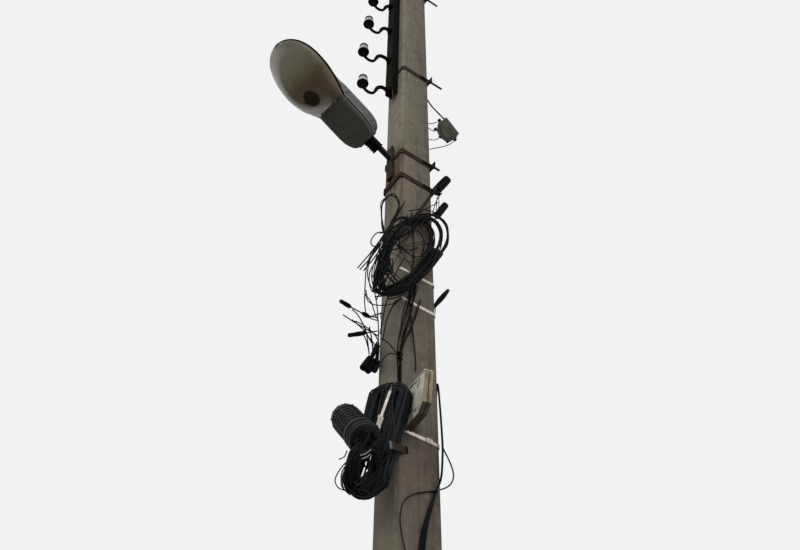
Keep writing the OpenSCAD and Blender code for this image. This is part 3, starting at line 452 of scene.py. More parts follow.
def pale_stage(name, seen, lit):
    """A surface that looks pale to the camera, and throws back less light than it shows."""
    n = Nodes(name)
    path = n.add("ShaderNodeLightPath")
    direct = n.math("MAXIMUM", path.outputs["Is Camera Ray"], path.outputs["Is Glossy Ray"])
    direct = n.math("MAXIMUM", direct, path.outputs["Is Transmission Ray"])
    grain = n.noise(3.0, 2)
    color = n.mix(direct, lit, n.mix(grain, seen, tuple(c * 0.985 for c in seen)))
    return n.finish(color, 0.9, Specular_IOR_Level=0.1)


# Mesh helpers


def catmull(points, step, closed=False):
    """A smooth line through the points, sampled about every step metres."""
    pts = [Vector(p) for p in points]
    count = len(pts)
    out = []
    for i in range(count if closed else count - 1):
        if closed:
            a, b, c, d = (pts[(i + k) % count] for k in (-1, 0, 1, 2))
        else:
            a, b, c, d = pts[max(i - 1, 0)], pts[i], pts[i + 1], pts[min(i + 2, count - 1)]
        n = max(2, int((c - b).length / step))
        for k in range(n):
            t = k / n
            out.append(0.5 * ((2 * b) + (c - a) * t + (2 * a - 5 * b + 4 * c - d) * t * t
                              + (3 * b - a - 3 * c + d) * t * t * t))
    if not closed:
        out.append(pts[-1])
    return out


def circle(sides):
    """The angles of a polygon's corners."""
    return [2 * math.pi * k / sides for k in range(sides)]


class Builder:
    """Collects tubes, boxes, lathes and lofts into one mesh."""

    def __init__(self):
        self.verts, self.faces, self.mats = [], [], []
        self.slot = 0

    def face(self, indices):
        self.faces.append(indices)
        self.mats.append(self.slot)

    def skin(self, rings, loop=False):
        """Faces between rings of equal length, in a loop or with both ends closed."""
        base, m, count = len(self.verts), len(rings[0]), len(rings)
        for ring in rings:
            self.verts += ring
        for i in range(count if loop else count - 1):
            here, there = base + i * m, base + (i + 1) % count * m
            for k in range(m):
                q = (k + 1) % m
                self.face((here + k, here + q, there + q, there + k))
        if not loop:
            self.face(tuple(base + k for k in reversed(range(m))))
            self.face(tuple(base + (count - 1) * m + k for k in range(m)))

    def tube(self, line, radius, sides=8, closed=False):
        """A round tube along a line; radius may be a function of the share of the way along."""
        pts = [Vector(p) for p in line]
        count = len(pts)
        normal, rings = None, []
        for i in range(count):
            after = pts[(i + 1) % count] if closed or i < count - 1 else pts[i]
            before = pts[i - 1] if closed or i > 0 else pts[i]
            t = (after - before).normalized()
            normal = t.orthogonal().normalized() if normal is None else normal
            normal = (normal - t * normal.dot(t)).normalized()
            side = t.cross(normal)
            r = radius(i / max(count - 1, 1)) if callable(radius) else radius
            rings.append([pts[i] + (normal * math.cos(a) + side * math.sin(a)) * r for a in circle(sides)])
        self.skin(rings, closed)

    def lathe(self, profile, matrix, sides=48):
        """A turned body through (radius, height) pairs, with both ends closed."""
        self.skin([[matrix @ Vector((r * math.cos(a), r * math.sin(a), h)) for a in circle(sides)]
                   for r, h in profile])

    def washer(self, frame, r0, r1, z0, z1, sides=48):
        """A flat ring between two radii and two heights."""
        self.lathe([(r0, z0), (r1, z0), (r1, z1), (r0, z1)], frame, sides)

    def block(self, low, high, matrix=Matrix.Identity(4), edge=0.0):
        """A box with its edges cut back by edge."""
        lo, hi = Vector(low), Vector(high)
        if edge <= 0:
            corners = [(x, y, z) for z in (lo.z, hi.z) for y in (lo.y, hi.y) for x in (lo.x, hi.x)]
            base = len(self.verts)
            self.verts += [matrix @ Vector(c) for c in corners]
            for f in ((0, 2, 3, 1), (4, 5, 7, 6), (0, 1, 5, 4), (2, 6, 7, 3), (0, 4, 6, 2), (1, 3, 7, 5)):
                self.face(tuple(base + i for i in f))
            return
        rings = []
        for z, e in ((lo.z, edge), (lo.z + edge, 0), (hi.z - edge, 0), (hi.z, edge)):
            ring = []
            for sx, sy in ((-1, -1), (1, -1), (1, 1), (-1, 1)):
                x = (hi.x if sx > 0 else lo.x) - sx * e
                y = (hi.y if sy > 0 else lo.y) - sy * e
                cut = edge if e == 0 else edge * 0.4
                first, second = Vector((x - sx * cut, y, z)), Vector((x, y - sy * cut, z))
                ring += [first, second] if sx * sy < 0 else [second, first]
            rings.append(ring)
        self.skin([[matrix @ p for p in ring] for ring in rings])

    def make(self, name, materials, slot=None, replaces=(), angle=40, body="pole"):
        """The finished piece: it rides a body; slot is not used."""
        slot = slot or materials[0]
        mesh = bpy.data.meshes.new(name)
        mesh.from_pydata([tuple(v) for v in self.verts], [], self.faces)
        mesh.validate()
        for m in materials:
            mesh.materials.append(MAT[m])
        if len(mesh.polygons) == len(self.mats):
            mesh.polygons.foreach_set("material_index", self.mats)
        obj = bpy.data.objects.new(name, mesh)
        bpy.context.scene.collection.objects.link(obj)
        mesh.shade_smooth()
        mesh.set_sharp_from_angle(angle=math.radians(angle))
        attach(obj, body)
        if replaces:
            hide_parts(*replaces)
        return obj


# Values shared with the part's source

POLE_H, POLE_W, POLE_TOP_W, POLE_D, POLE_CHAMFER = 9.1, 0.290, 0.197, 0.178, 0.014
FACE_Y = -POLE_D / 2
FIT = 0.0003


def lerp(a, b, t):
    return a + (b - a) * t


def smooth(t):
    c = min(1.0, max(0.0, t))
    return c * c * (3 - 2 * c)


def bent(v, e):
    return math.copysign(abs(v) ** e, v)


def turned(degrees, axis):
    return Matrix.Rotation(math.radians(degrees), 4, axis)


def half_w(z):
    """Half the width of the pole's wide face at a height."""
    return lerp(POLE_W, POLE_TOP_W, z / POLE_H) / 2


# the lamp's arm and the lamp, each in a frame with X out along it
ARM = Matrix.Translation((-0.110, 0.012, 6.665)) @ turned(186, "Z") @ turned(-20, "Y")
LAMP = ARM @ Matrix.Translation((0.200, -0.005, -0.070)) @ turned(-3, "Y")
SEAM_V, BOWL_GAP, BOWL_LEN = 0.295, 0.005, 0.471
TIP_V = SEAM_V + 2 * BOWL_GAP + BOWL_LEN
WIDE_V = TIP_V - BOWL_LEN / 2
LAMP_W, GEAR_W, NECK_W = 0.342, 0.228, 0.100
COVER_H, CANOPY_H, GEAR_H = 0.128, 0.076, 0.040
HUMP_BEFORE, HUMP_LEN, END_SHARE, END_LEN = 0.015, 0.140, 0.85, 0.040
NECK_LEN, NOSE_POWER, COVER_BEND = 0.120, 2.5, 0.25
TRAY_INSET, TRAY_BEND, TRAY_END_SHARE, TRAY_END_LEN = 0.006, 0.6, 0.75, 0.060
HEAP_AT, HEAP_SIZE = (0.404, -0.014), (0.052, 0.048)


def nose(v):
    return math.sqrt(max(0.0, 1 - ((v - WIDE_V) / (BOWL_LEN / 2)) ** NOSE_POWER)) if v > WIDE_V else 1.0


def lamp_half(v):
    """Half the lamp's width at a distance from its neck."""
    if v > WIDE_V:
        return LAMP_W / 2 * nose(v)
    if v > SEAM_V:
        return lerp(GEAR_W, LAMP_W, math.sin(math.pi / 2 * (v - SEAM_V) / (WIDE_V - SEAM_V))) / 2
    return lerp(NECK_W, GEAR_W, math.sqrt(1 - max(0.0, 1 - v / NECK_LEN) ** 2)) / 2


def cover_top(v):
    low = lerp(COVER_H, CANOPY_H, smooth((v - SEAM_V + HUMP_BEFORE) / HUMP_LEN))
    return low * lerp(END_SHARE, 1, min(1, v / END_LEN)) * nose(v)


def cover_bend(v):
    return lerp(COVER_BEND, 1, smooth((v - SEAM_V) / HUMP_LEN))


def tray_depth(v):
    return lerp(TRAY_END_SHARE, 1, min(1, v / TRAY_END_LEN)) * GEAR_H


# the coil on its hook, with X across the coil and Y back to the pole
COIL_Z = 4.646
COIL_HOOK = (Matrix.Translation((-half_w(COIL_Z) + POLE_CHAMFER / 2, FACE_Y + POLE_CHAMFER / 2, COIL_Z))
             @ turned(-60, "Z"))
COIL_DROP, COIL_OUT, COIL_STRAIGHT, COIL_OUTER_R = 0.0357, 0.078, 0.434, 0.104
COIL_FRAME = COIL_HOOK @ Matrix.Translation((0, -COIL_OUT, -COIL_DROP)) @ turned(12, "Y")

# the splice closure, with Z along it from its base to its dome
CLOSURE_AT = Vector((-0.341, -0.171, 4.271))
CLOSURE = Matrix.Translation(CLOSURE_AT) @ turned(-36, "X")
CLOSURE_R, CLOSURE_LEN, CLOSURE_RIBS, CLOSURE_BASE = 0.071, 0.330, 8, 0.040
PORT_OFF, PORT_TURNS = 0.040, [math.radians(72 * k + 20) for k in range(5)]

# the terminal box, with X through it and Y back to the pole
BOX_H, BOX_W, LID_D, BOX_D = 0.222, 0.232, 0.021, 0.021
BOX = (Matrix.Translation((-0.093, FACE_Y - 0.0033, 4.588 - BOX_H / 2)) @ turned(-15, "Z") @ turned(14, "X")
       @ Matrix.Translation((0, 0, BOX_H / 2)))


# Cables

# Routes of cable are picture points in pixels, each at a stated distance from the wide face.
# The stored cable hangs in three rings that part at the right and lie on each other at the bottom.
OUTER_RING = [(413, 218), (421, 215.6), (430, 215), (439, 217.8), (445.4, 224.5), (447.6, 234.5),
              (446.4, 244), (441, 252), (434, 259), (427, 267), (419, 276), (410, 284.5), (401, 290.5),
              (391, 293.5), (381, 292.8), (375.6, 288), (376.6, 277), (380.4, 265), (384.6, 253),
              (389.5, 242), (396.5, 232), (405, 224)]
MIDDLE_RING = [(413, 219.4), (421, 217.6), (430, 218.2), (436.6, 222.5), (440.6, 230.5), (440.2, 240.5),
               (437.6, 248.5), (431.5, 256.5), (424.5, 264.5), (416.5, 272.5), (407.6, 280.5),
               (398.6, 286.6), (389, 290), (381.6, 288.6), (377.8, 281), (380, 269), (384.2, 257),
               (388.2, 246), (395.2, 235), (404.4, 224.8)]
INNER_RING = [(413, 220.4), (420, 220.8), (426.6, 225), (431, 233.5), (431.2, 244), (427.6, 253.4),
              (421.6, 261.8), (413.6, 270.6), (406.6, 278), (397.6, 284.6), (389, 287.4), (383.2, 283.6),
              (383.4, 273), (386.2, 262), (389.2, 251), (394.4, 241), (401.4, 231), (407.4, 224.6)]
RINGS = [(OUTER_RING, 7, 1.0), (MIDDLE_RING, 7, 1.3), (INNER_RING, 7, 1.6)]
# How many strands leave their bundle or cross the opening, and the radii that strands have
WILD_COUNT, THIN_COUNT = 46, 7
STRAND_R = (0.0026, 0.0032, 0.0040, 0.0048)
LEFT_CROSS = [(409, 223), (399, 229), (391, 238), (386.4, 249), (386, 262), (390, 274), (398, 283)]
MASS_ROUTE = [(437, 250), (431, 259.5), (423.5, 268.5), (415, 276.5), (406, 283.5), (396.5, 289.4),
              (386, 292.4)]
KNOT_ROUTE = [(398, 231), (404, 225), (411, 220.5), (420, 217.5), (430, 217)]
LEFT_ROUTE = [(404, 225), (396, 234.5), (389.6, 245), (384.6, 256), (380.6, 268), (378.6, 280), (378, 291)]
CAVITY_ROUTE = [(393, 239), (389, 246), (386.4, 255), (385, 264), (385.4, 272)]
WILD_ROUTES = (MASS_ROUTE, MASS_ROUTE, LEFT_ROUTE, LEFT_ROUTE, CAVITY_ROUTE, KNOT_ROUTE, LEFT_CROSS)
# Strands that follow only a part of the rings: route, count, spread at its start and end in pixels
PARTS = [(MASS_ROUTE, 42, 6.5, 5.5), (KNOT_ROUTE, 14, 2.6, 2.0), (LEFT_ROUTE, 9, 1.8, 6.5),
         (CAVITY_ROUTE, 14, 3.0, 4.2), (LEFT_CROSS, 5, 3.0, 5.0)]
SLEEVE = [(394.5, 238.5), (398, 235.4), (402.5, 231), (407, 226.8)]
LEFT_LOOP = [(386, 235), (382.4, 226), (381.0, 214), (382.4, 203.5), (387, 196.6), (392.5, 195),
             (397, 198.6), (398.6, 205), (396.6, 213), (392, 222)]
SECOND_LOOP = [(405.5, 200.4), (401, 208), (395.6, 217.6), (390.4, 227), (386, 236), (381, 248), (376.6, 261)]
SECOND_ARCH = [(383, 246), (385, 236), (390, 226.4), (396, 219.6), (402, 217), (408.5, 218.5), (413, 222)]
SPOKES = [[(413, 222), (413.6, 235), (414, 248), (413.6, 260), (412, 272), (410.5, 284)],
          [(413, 229), (420, 233), (424.2, 241), (423.4, 250), (421, 257)],
          [(413.5, 230), (407, 233.5), (401, 237.5), (396.5, 241)],
          [(413, 231), (407, 237), (402, 242.5)],
          [(396, 244), (403, 248.5), (411, 250), (418.5, 247)],
          [(396, 245.5), (405, 251.5), (413, 256), (421, 257)],
          [(404, 258), (399.5, 266), (395.5, 273.5), (393, 281)],
          [(414, 219), (421, 222), (427, 229), (429.5, 239), (427, 249), (421, 257)]]
LEFT_FAN = [[(389, 226), (380, 240), (370, 253.5), (357.7, 267.9)],
            [(390, 228), (382, 242), (372, 256), (360, 269.5)],
            [(391, 230), (383, 245), (374, 258), (363.6, 270.6)],
            [(386, 232), (378, 246), (371, 258), (367, 265)],
            [(384, 232), (376.5, 233.2), (371, 240.5), (372.2, 245.6), (376.4, 246.5)]]
LEFT_HANGS = [[(378, 245), (371, 254), (366.5, 268), (365.2, 284), (364.6, 300), (365.6, 313)],
              [(382, 250), (376, 262), (373.6, 276), (374.6, 291), (377, 306), (378, 320), (378.6, 334),
               (377.6, 346)],
              [(366, 290), (367.4, 297), (371.4, 302.6), (375.4, 315), (377.8, 319.4)],
              [(364.8, 292), (368, 301), (374.5, 304.8), (383, 305.2), (392, 304), (402, 298)],
              [(374, 284), (376, 292), (384, 295.5), (394, 292), (402, 286)],
              [(380, 256), (370.5, 270), (369.4, 283), (372.5, 291.5), (381, 293.5)],
              [(383, 248), (374.6, 262), (371.6, 276), (374.4, 289), (380, 292.5)],
              [(379, 243), (370.6, 258), (367.6, 272), (369, 282), (373.6, 290.6)]]
FACE_STRANDS = [[(401, 298), (394, 305), (388.5, 314.5), (385.6, 324), (384, 333), (382.6, 341)],
                [(389, 294), (385, 308), (382.2, 321.6), (380, 334)],
                [(396, 300), (389.5, 313), (386, 322), (384.6, 331)]]
DOWN_STRANDS = [[(411, 286), (408.4, 304), (404.2, 318), (400.4, 332), (397.8, 345), (397.2, 357),
                 (398, 370), (398, 385)],
                [(414.5, 286), (411.8, 305), (408.6, 319), (404.8, 331), (401.6, 343), (399.8, 357),
                 (399.6, 385)],
                [(421, 300), (414.6, 319.5), (410.2, 329.5), (405.4, 339), (402.4, 349), (401, 358),
                 (401, 385)],
                [(416, 286), (412.6, 305), (409.6, 319), (405.6, 332), (402.2, 344), (400.6, 357),
                 (400.4, 385)]]
BOX_STRAND = [(410.5, 300), (411, 315), (412.4, 326.5), (413.8, 342), (415.4, 358), (415.8, 371)]
TIE_STRANDS = [[(380.5, 338.5), (386, 341), (391.5, 346.5), (396.5, 353)],
               [(396.5, 354.8), (391.5, 353.2), (386.2, 355.4), (382, 360.4), (378.6, 365.5)]]
RIGHT_STRANDS = [[(412, 218.5), (419.3, 209.8), (426, 201), (432, 193.5), (436, 190.5)],
                 [(413, 219), (421, 210.5), (427.5, 202), (433, 195), (437, 192)],
                 [(414, 219), (423, 210.5), (431.5, 206), (438, 202.5)],
                 [(432.5, 213), (435, 205), (438, 198), (442, 193)],
                 [(421, 214), (428, 213.5), (434, 215.5), (437.5, 215)]]
EDGE_BUNDLE = [(437.2, 384), (439.4, 400), (441.4, 417), (442.4, 442), (442.4, 461), (441.4, 476),
               (438.6, 486), (435.8, 490.4)]
EDGE_LOOP = [(442.4, 447), (446.4, 455), (450.6, 464), (453.6, 474.4), (451.6, 483), (445.6, 488),
             (436.5, 490.6)]
RISER_D, RISER_X, WIRE_D = 0.014, -0.015, 0.006
RISER_GAP, RISER_R = 0.011, 0.0052
RISER_VIEW = [(436.4, 490.4), (432.4, 502), (428, 516), (424, 533), (421.8, 550), (419, 570)]
THIN_ROUTE = [(0.080, 0, 4.238), (0.030, 0, 4.214), (-0.030, -0.004, 4.176), (-0.078, -0.010, 4.130),
              (-0.108, -0.016, 4.070), (-0.116, -0.016, 4.000), (-0.098, -0.010, 3.920),
              (-0.070, -0.003, 3.850), (-0.050, 0, 3.780), (-0.0396, 0, 3.690), (-0.0396, 0, 2.6),
              (-0.0396, 0, 1.3), (-0.0396, 0, 0.020)]
SLACK_LEADS = [[(347.2, 461), (340.3, 469), (335.3, 478.3), (335.7, 483.7), (339, 488.3), (346, 490.6),
                (352, 491)],
               [(346.5, 464), (342, 472), (341, 480), (342, 487), (346, 491.3), (352, 494)],
               [(347, 466), (343, 474), (342.4, 482), (344, 489), (350, 495)],
               [(347, 450.8), (344.1, 457), (339, 459.2)]]
GLINT_LEADS = [[(360.2, 455.4), (365.6, 453.6), (371, 449.6)], [(361.7, 458.8), (366, 457.4), (370.5, 454.4)]]


def face_line(route, lift, wobble=0.0):
    """World points of picture points, lift metres in front of the wide face, each up to wobble off it."""
    return [on_y(px, py, FACE_Y - lift - rng.uniform(0, wobble)) for px, py in route]


def at_y(route, y):
    """World points of picture points on the plane at y."""
    return [on_y(px, py, y) for px, py in route]


def beside(route, i, off, closed):
    """The picture point at off pixels to the right of a route's point i."""
    count = len(route)
    before = route[(i - 1) % count] if closed or i else route[0]
    after = route[(i + 1) % count] if closed or i < count - 1 else route[-1]
    along = Vector((after[0] - before[0], after[1] - before[1])).normalized()
    return route[i][0] - along.y * off, route[i][1] + along.x * off


# Metres between a strand's samples, then the strands' distances from the face and how much they waver
RING_STEP, STRAND_STEP, LEAD_STEP = 0.020, 0.015, 0.018
RING_LIFT, RING_LAYER, RING_WOBBLE, PART_WOBBLE, WILD_WOBBLE = 0.010, 0.0014, 0.010, 0.008, 0.006
PART_LIFT, WILD_LIFT, THIN_LIFT = (0.008, 0.055), (0.040, 0.068), (0.006, 0.030)
WILD_R, THIN_R = (0.0024, 0.0030, 0.0038), 0.0019
SLEEVE_LIFT, SLEEVE_R, SLEEVE_TAPER = 0.058, 0.0150, 0.006
# How far strands stray from their route, in pixels, and how a wild strand turns, reaches and bows
RING_STRAY, PART_STRAY, WILD_STRAY, THIN_STRAY = 0.35, 0.45, 2.2, 3.5
WILD_TURN, WILD_REACH, WILD_BOW = 0.36, (6, 16), 3


def ring_strands(b):
    """The rings' strands, each a little off its ring and laid on the last one."""
    lift = RING_LIFT
    for route, count, spread in RINGS:
        for k in range(count):
            off, sway, turn = rng.gauss(0, spread * 0.6), rng.gauss(0, spread * 0.7), rng.uniform(0, 6)
            points = []
            for i in range(len(route)):
                wave = sway * math.sin(6.3 * i / len(route) + turn)
                points.append(beside(route, i, off + wave + rng.gauss(0, RING_STRAY), True))
            line = face_line(points, lift, RING_WOBBLE)
            b.tube(catmull(line, RING_STEP, closed=True), rng.choice(STRAND_R), 6, closed=True)
            lift += RING_LAYER


def part_strands(b):
    """Strands that follow only a part of the rings."""
    for route, count, start_spread, end_spread in PARTS:
        last = len(route) - 1
        for k in range(count):
            side, tilt = rng.uniform(-1, 1), rng.uniform(-0.5, 0.5)
            points = []
            for i in range(len(route)):
                reach = (side + tilt * (2 * i / last - 1)) * lerp(start_spread, end_spread, i / last)
                points.append(beside(route, i, reach + rng.gauss(0, PART_STRAY), False))
            line = face_line(points, rng.uniform(*PART_LIFT), PART_WOBBLE)
            b.tube(catmull(line, RING_STEP), rng.choice(STRAND_R), 6)


def wild_strands(b):
    """Short strands that leave their bundle at an angle."""
    for k in range(WILD_COUNT):
        route = rng.choice(WILD_ROUTES)
        at = Vector(rng.choice(route)) + Vector((rng.gauss(0, WILD_STRAY), rng.gauss(0, WILD_STRAY)))
        way = (Vector(route[-1]) - Vector(route[0])).normalized()
        way.rotate(Matrix.Rotation(rng.gauss(0, WILD_TURN), 2))
        reach, bow = rng.uniform(*WILD_REACH), rng.gauss(0, WILD_BOW)
        ends = [at - way * reach, at + Vector((-way.y, way.x)) * bow, at + way * reach]
        line = face_line(ends, rng.uniform(*WILD_LIFT), WILD_WOBBLE)
        b.tube(catmull(line, RING_STEP), rng.choice(WILD_R), 6)


def thin_strands(b):
    """Thin strands across the rings' opening."""
    for k in range(THIN_COUNT):
        a, c = rng.choice(INNER_RING[1:9]), rng.choice(INNER_RING[11:18])
        mid = lerp(Vector(a), Vector(c), rng.uniform(0.3, 0.7))
        mid += Vector((rng.gauss(0, THIN_STRAY), rng.gauss(0, THIN_STRAY)))
        line = face_line([a, mid, c], rng.uniform(*THIN_LIFT), WILD_WOBBLE)
        b.tube(catmull(line, RING_STEP), THIN_R, 6)


def stored_cable():
    """The stored cable on the wide face, with the sleeve on its knot."""
    b = Builder()
    ring_strands(b)
    part_strands(b)
    wild_strands(b)
    thin_strands(b)
    b.tube(catmull(face_line(SLEEVE, SLEEVE_LIFT), 0.010),
           lambda t: SLEEVE_R - SLEEVE_TAPER * abs(2 * t - 1) ** 4, 14)
    b.make("stored_cable", ["cable_black"], replaces=["slack_loops"])


def strand(b, route, lift, radius, wobble=0.0, sides=6, step=STRAND_STEP, closed=False):
    """A cable along picture points, lift metres in front of the wide face."""
    b.tube(catmull(face_line(route, lift, wobble), step, closed), radius, sides, closed)


# Loops, arches and spokes: distance from the face, step to the next one, radius and how they part
LOOP_LIFT, LOOP_R, LOOP_STRAY = 0.008, 0.0030, 0.6
SECOND_LIFT, SECOND_STEP, SECOND_R, SECOND_SPREAD = 0.012, 0.010, 0.0028, 1.5
ARCH_LIFT, ARCH_STEP, ARCH_R, ARCH_DROP = 0.020, 0.012, 0.0042, 1.4
SPOKE_LIFT, SPOKE_STEP, SPOKE_R, SMALL_WOBBLE, WOBBLE = 0.008, 0.004, 0.0030, 0.003, 0.004
# Routes, the first one's distance from the face, the step to the next one's, radius and wobble
LOOSE_SETS = [(LEFT_FAN, 0.016, 0.008, 0.0034, WOBBLE), (LEFT_HANGS, 0.012, 0.006, 0.0030, WOBBLE),
              (FACE_STRANDS + TIE_STRANDS, 0.006, 0.003, 0.0030, 0.0),
              (RIGHT_STRANDS[:2], 0.020, 0.006, 0.0040, 0.0),
              (RIGHT_STRANDS[2:], 0.032, 0.006, 0.0028, 0.0)]


def loose_strands():
    """The strands that leave the stored cable: loops, spokes, cut ends and hanging wires."""
    b = Builder()
    for k in range(3):
        route = [(px + rng.gauss(0, LOOP_STRAY), py + rng.gauss(0, LOOP_STRAY)) for px, py in LEFT_LOOP]
        strand(b, route, LOOP_LIFT * (k + 1), LOOP_R, sides=7, closed=True)
    for k in range(3):
        spread = SECOND_SPREAD * (k - 1)
        route = [(px + spread * min(1, i / 3), py) for i, (px, py) in enumerate(SECOND_LOOP)]
        strand(b, route, SECOND_LIFT + SECOND_STEP * k, SECOND_R, WOBBLE, 7)
    for k in range(2):
        route = [(px, py + ARCH_DROP * k) for px, py in SECOND_ARCH]
        strand(b, route, ARCH_LIFT + ARCH_STEP * k, ARCH_R, sides=7)
    for i, route in enumerate(SPOKES):
        strand(b, route, SPOKE_LIFT + SPOKE_STEP * (i % 4), SPOKE_R, SMALL_WOBBLE)
    for routes, lift, layer, radius, wobble in LOOSE_SETS:
        for i, route in enumerate(routes):
            strand(b, route, lift + layer * i, radius, wobble)
    b.make("loose_strands", ["cable_black"])


TIE_T, TIE_HEAD, TIE_HEAD_OUT = 0.0014, 0.004, 0.006


def ring_tie(b, centre, r, width=0.005):
    """A cable tie: a flat band round an upright bundle, and its head."""
    frame = Matrix.Translation(centre)
    b.washer(frame, r, r + TIE_T, -width / 2, width / 2, 20)
    b.block((r - 0.001, -TIE_HEAD, -TIE_HEAD), (r + TIE_HEAD_OUT, TIE_HEAD, TIE_HEAD), frame, 0.0008)


DOWN_TIES, DOWN_TIE_R = ((399.2, 353.5), (399.2, 358.5)), 0.014
DOWN_SPREAD, DOWN_GATHER, DOWN_STRAY = 5, 1.2, 0.55
FRAYED_LIFT, FRAYED_STEP, FRAYED_R = 0.016, 0.003, 0.0028
DOWN_LIFT, DOWN_STEP, DOWN_R, BOX_STRAND_LIFT, BOX_STRAND_R = 0.007, 0.004, 0.0040, 0.006, 0.0030


def down_leads():
    """The cables that hang from the stored ones to their ties."""
    b = Builder()
    for k in range(5):
        route = []
        for i, (px, py) in enumerate(DOWN_STRANDS[k % 4]):
            stray = (DOWN_SPREAD - DOWN_GATHER * i) * rng.gauss(0, DOWN_STRAY) if i < 4 else 0
            route.append((px + stray, py))
        strand(b, route, FRAYED_LIFT + FRAYED_STEP * k, FRAYED_R, step=LEAD_STEP)
    for i, route in enumerate(DOWN_STRANDS):
        strand(b, route, DOWN_LIFT + DOWN_STEP * i, DOWN_R, sides=8, step=LEAD_STEP)
    strand(b, BOX_STRAND, BOX_STRAND_LIFT, BOX_STRAND_R, sides=8, step=LEAD_STEP)
    b.slot = 1
    for tie in DOWN_TIES:
        ring_tie(b, on_y(*tie, FACE_Y - DOWN_TIE_R), DOWN_TIE_R)
    b.make("down_lead_cables", ["cable_black", "clamp_black"], replaces=["down_leads"])


# The coil's top turns are squashed, and its outer ones draw in and lean to their bottom
COIL_SQUASH, COIL_NARROW, COIL_LEAN = 0.62, 0.82, -0.014
COIL_OPEN_R, COIL_FILL_R, COIL_FILL_X = 0.062, 0.034, 0.041
COIL_CABLE_R, COIL_HALF_T, COIL_FILL_REACH, COIL_TOP_LOW = 0.0044, 0.028, 0.15, -0.30
OUTER_TURNS, FILL_TURNS, TOP_TURNS = 44, 40, 14
ARC_POINTS, SIDE_SHARES = 10, (0.25, 0.5, 0.75)


def belt_turn(r_top, r_bottom, top, bottom, y_top, y_bottom):
    """One hanging turn in the coil's frame, wider or narrower at its bottom."""
    arc = [math.pi * k / ARC_POINTS for k in range(ARC_POINTS)]
    sides = [(lerp(r_top, r_bottom, t), lerp(y_top, y_bottom, t), lerp(top, bottom, t)) for t in SIDE_SHARES]
    points = [(r_top * math.cos(a), y_top, top + r_top * math.sin(a) * COIL_SQUASH) for a in arc]
    points += [(-x, y, z) for x, y, z in sides]
    points += [(-r_bottom * math.cos(a), y_bottom, bottom - r_bottom * math.sin(a)) for a in arc]
    return points + sides[::-1]


def coil_turn_sizes():
    """Radius at the top and bottom, height of each end, and shift to the right, for every turn."""
    turns = []
    for k in range(OUTER_TURNS):
        r = lerp(COIL_OPEN_R, COIL_OUTER_R, (k % 8) / 7) + rng.gauss(0, 0.0020)
        turns.append((r, r * COIL_NARROW + rng.gauss(0, 0.003), rng.gauss(0, 0.003),
                      -COIL_STRAIGHT + rng.uniform(0.004, 0.026), COIL_LEAN))
    for k in range(FILL_TURNS):
        r = lerp(0.004, COIL_FILL_R, (k % 10) / 9)
        turns.append((r, r + rng.uniform(-0.002, 0.012), (COIL_OPEN_R - r) * 0.8 + rng.gauss(0, 0.003),
                      -COIL_STRAIGHT + rng.uniform(-0.004, 0.06), COIL_FILL_X + rng.gauss(0, 0.002)))
    for k in range(TOP_TURNS):
        r = lerp(0.006, COIL_OPEN_R, (k % 7) / 6)
        turns.append((r, r, (COIL_OPEN_R - r) * 0.8, COIL_TOP_LOW + rng.uniform(-0.02, 0.05), 0))
    return turns


def lower_coil():
    """The coil of cable on its hook: outer turns that lie close together, and a slack filling."""
    b = Builder()
    for k, (r_top, r_bottom, top, bottom, shift) in enumerate(coil_turn_sizes()):
        y = COIL_HALF_T * (2 * ((k * 7) % 13) / 12 - 1)
        y_top, y_bottom = y + rng.gauss(0, 0.003), y + rng.gauss(0, 0.006)
        line = belt_turn(r_top, max(0.004, r_bottom), top, bottom, y_top, y_bottom)
        reach = COIL_FILL_REACH if shift > 0 else COIL_STRAIGHT
        line = [(px + shift * min(1, max(0, -pz / reach)) ** 3 + rng.gauss(0, 0.0009), py, pz)
                for px, py, pz in line]
        b.tube(catmull([COIL_FRAME @ Vector(p) for p in line], 0.03, closed=True), COIL_CABLE_R, 6,
               closed=True)
    b.make("coil_turns", ["coil_black"], "cable_black", replaces=["lower_coil"])


# Cables from the closure round the coil's foot: picture points, with each one's distance along Y
LEAD_ROUTE = [(362.5, 447, -0.215), (355.5, 454, -0.215), (352.6, 465, -0.205), (350.8, 477, -0.190),
              (354, 487, -0.165), (361, 493, -0.140), (369, 492, -0.120), (377, 484, -0.105)]
SHORT_ROUTE = [(368, 448, -0.210), (375.6, 453, -0.190), (379.2, 462, -0.170), (377.2, 472.5, -0.160),
               (369, 481, -0.160), (359, 486, -0.165)]
CROSS_ROUTE = [(354, 484.5, -0.185), (363, 478.6, -0.170), (372, 471.2, -0.150), (381, 460, -0.130),
               (389, 449, -0.110)]
# Route, count, spread at its ends and middle in pixels, radius, and how far a strand strays
LEAD_SETS = [(LEAD_ROUTE, 38, 3.5, 7.0, 0.0038, 1.1), (SHORT_ROUTE, 13, 2.5, 2.6, 0.0040, 0.5),
             (CROSS_ROUTE, 12, 2.4, 2.8, 0.0038, 0.6)]
LEAD_DEPTH, LEAD_WOBBLE, SLACK_Y, GLINT_Y = 0.022, 0.002, -0.150, -0.246
PORT_CABLE_R, THIN_LEAD_R, LEAD_R_SHARE = 0.0046, 0.0026, (0.8, 1.25)


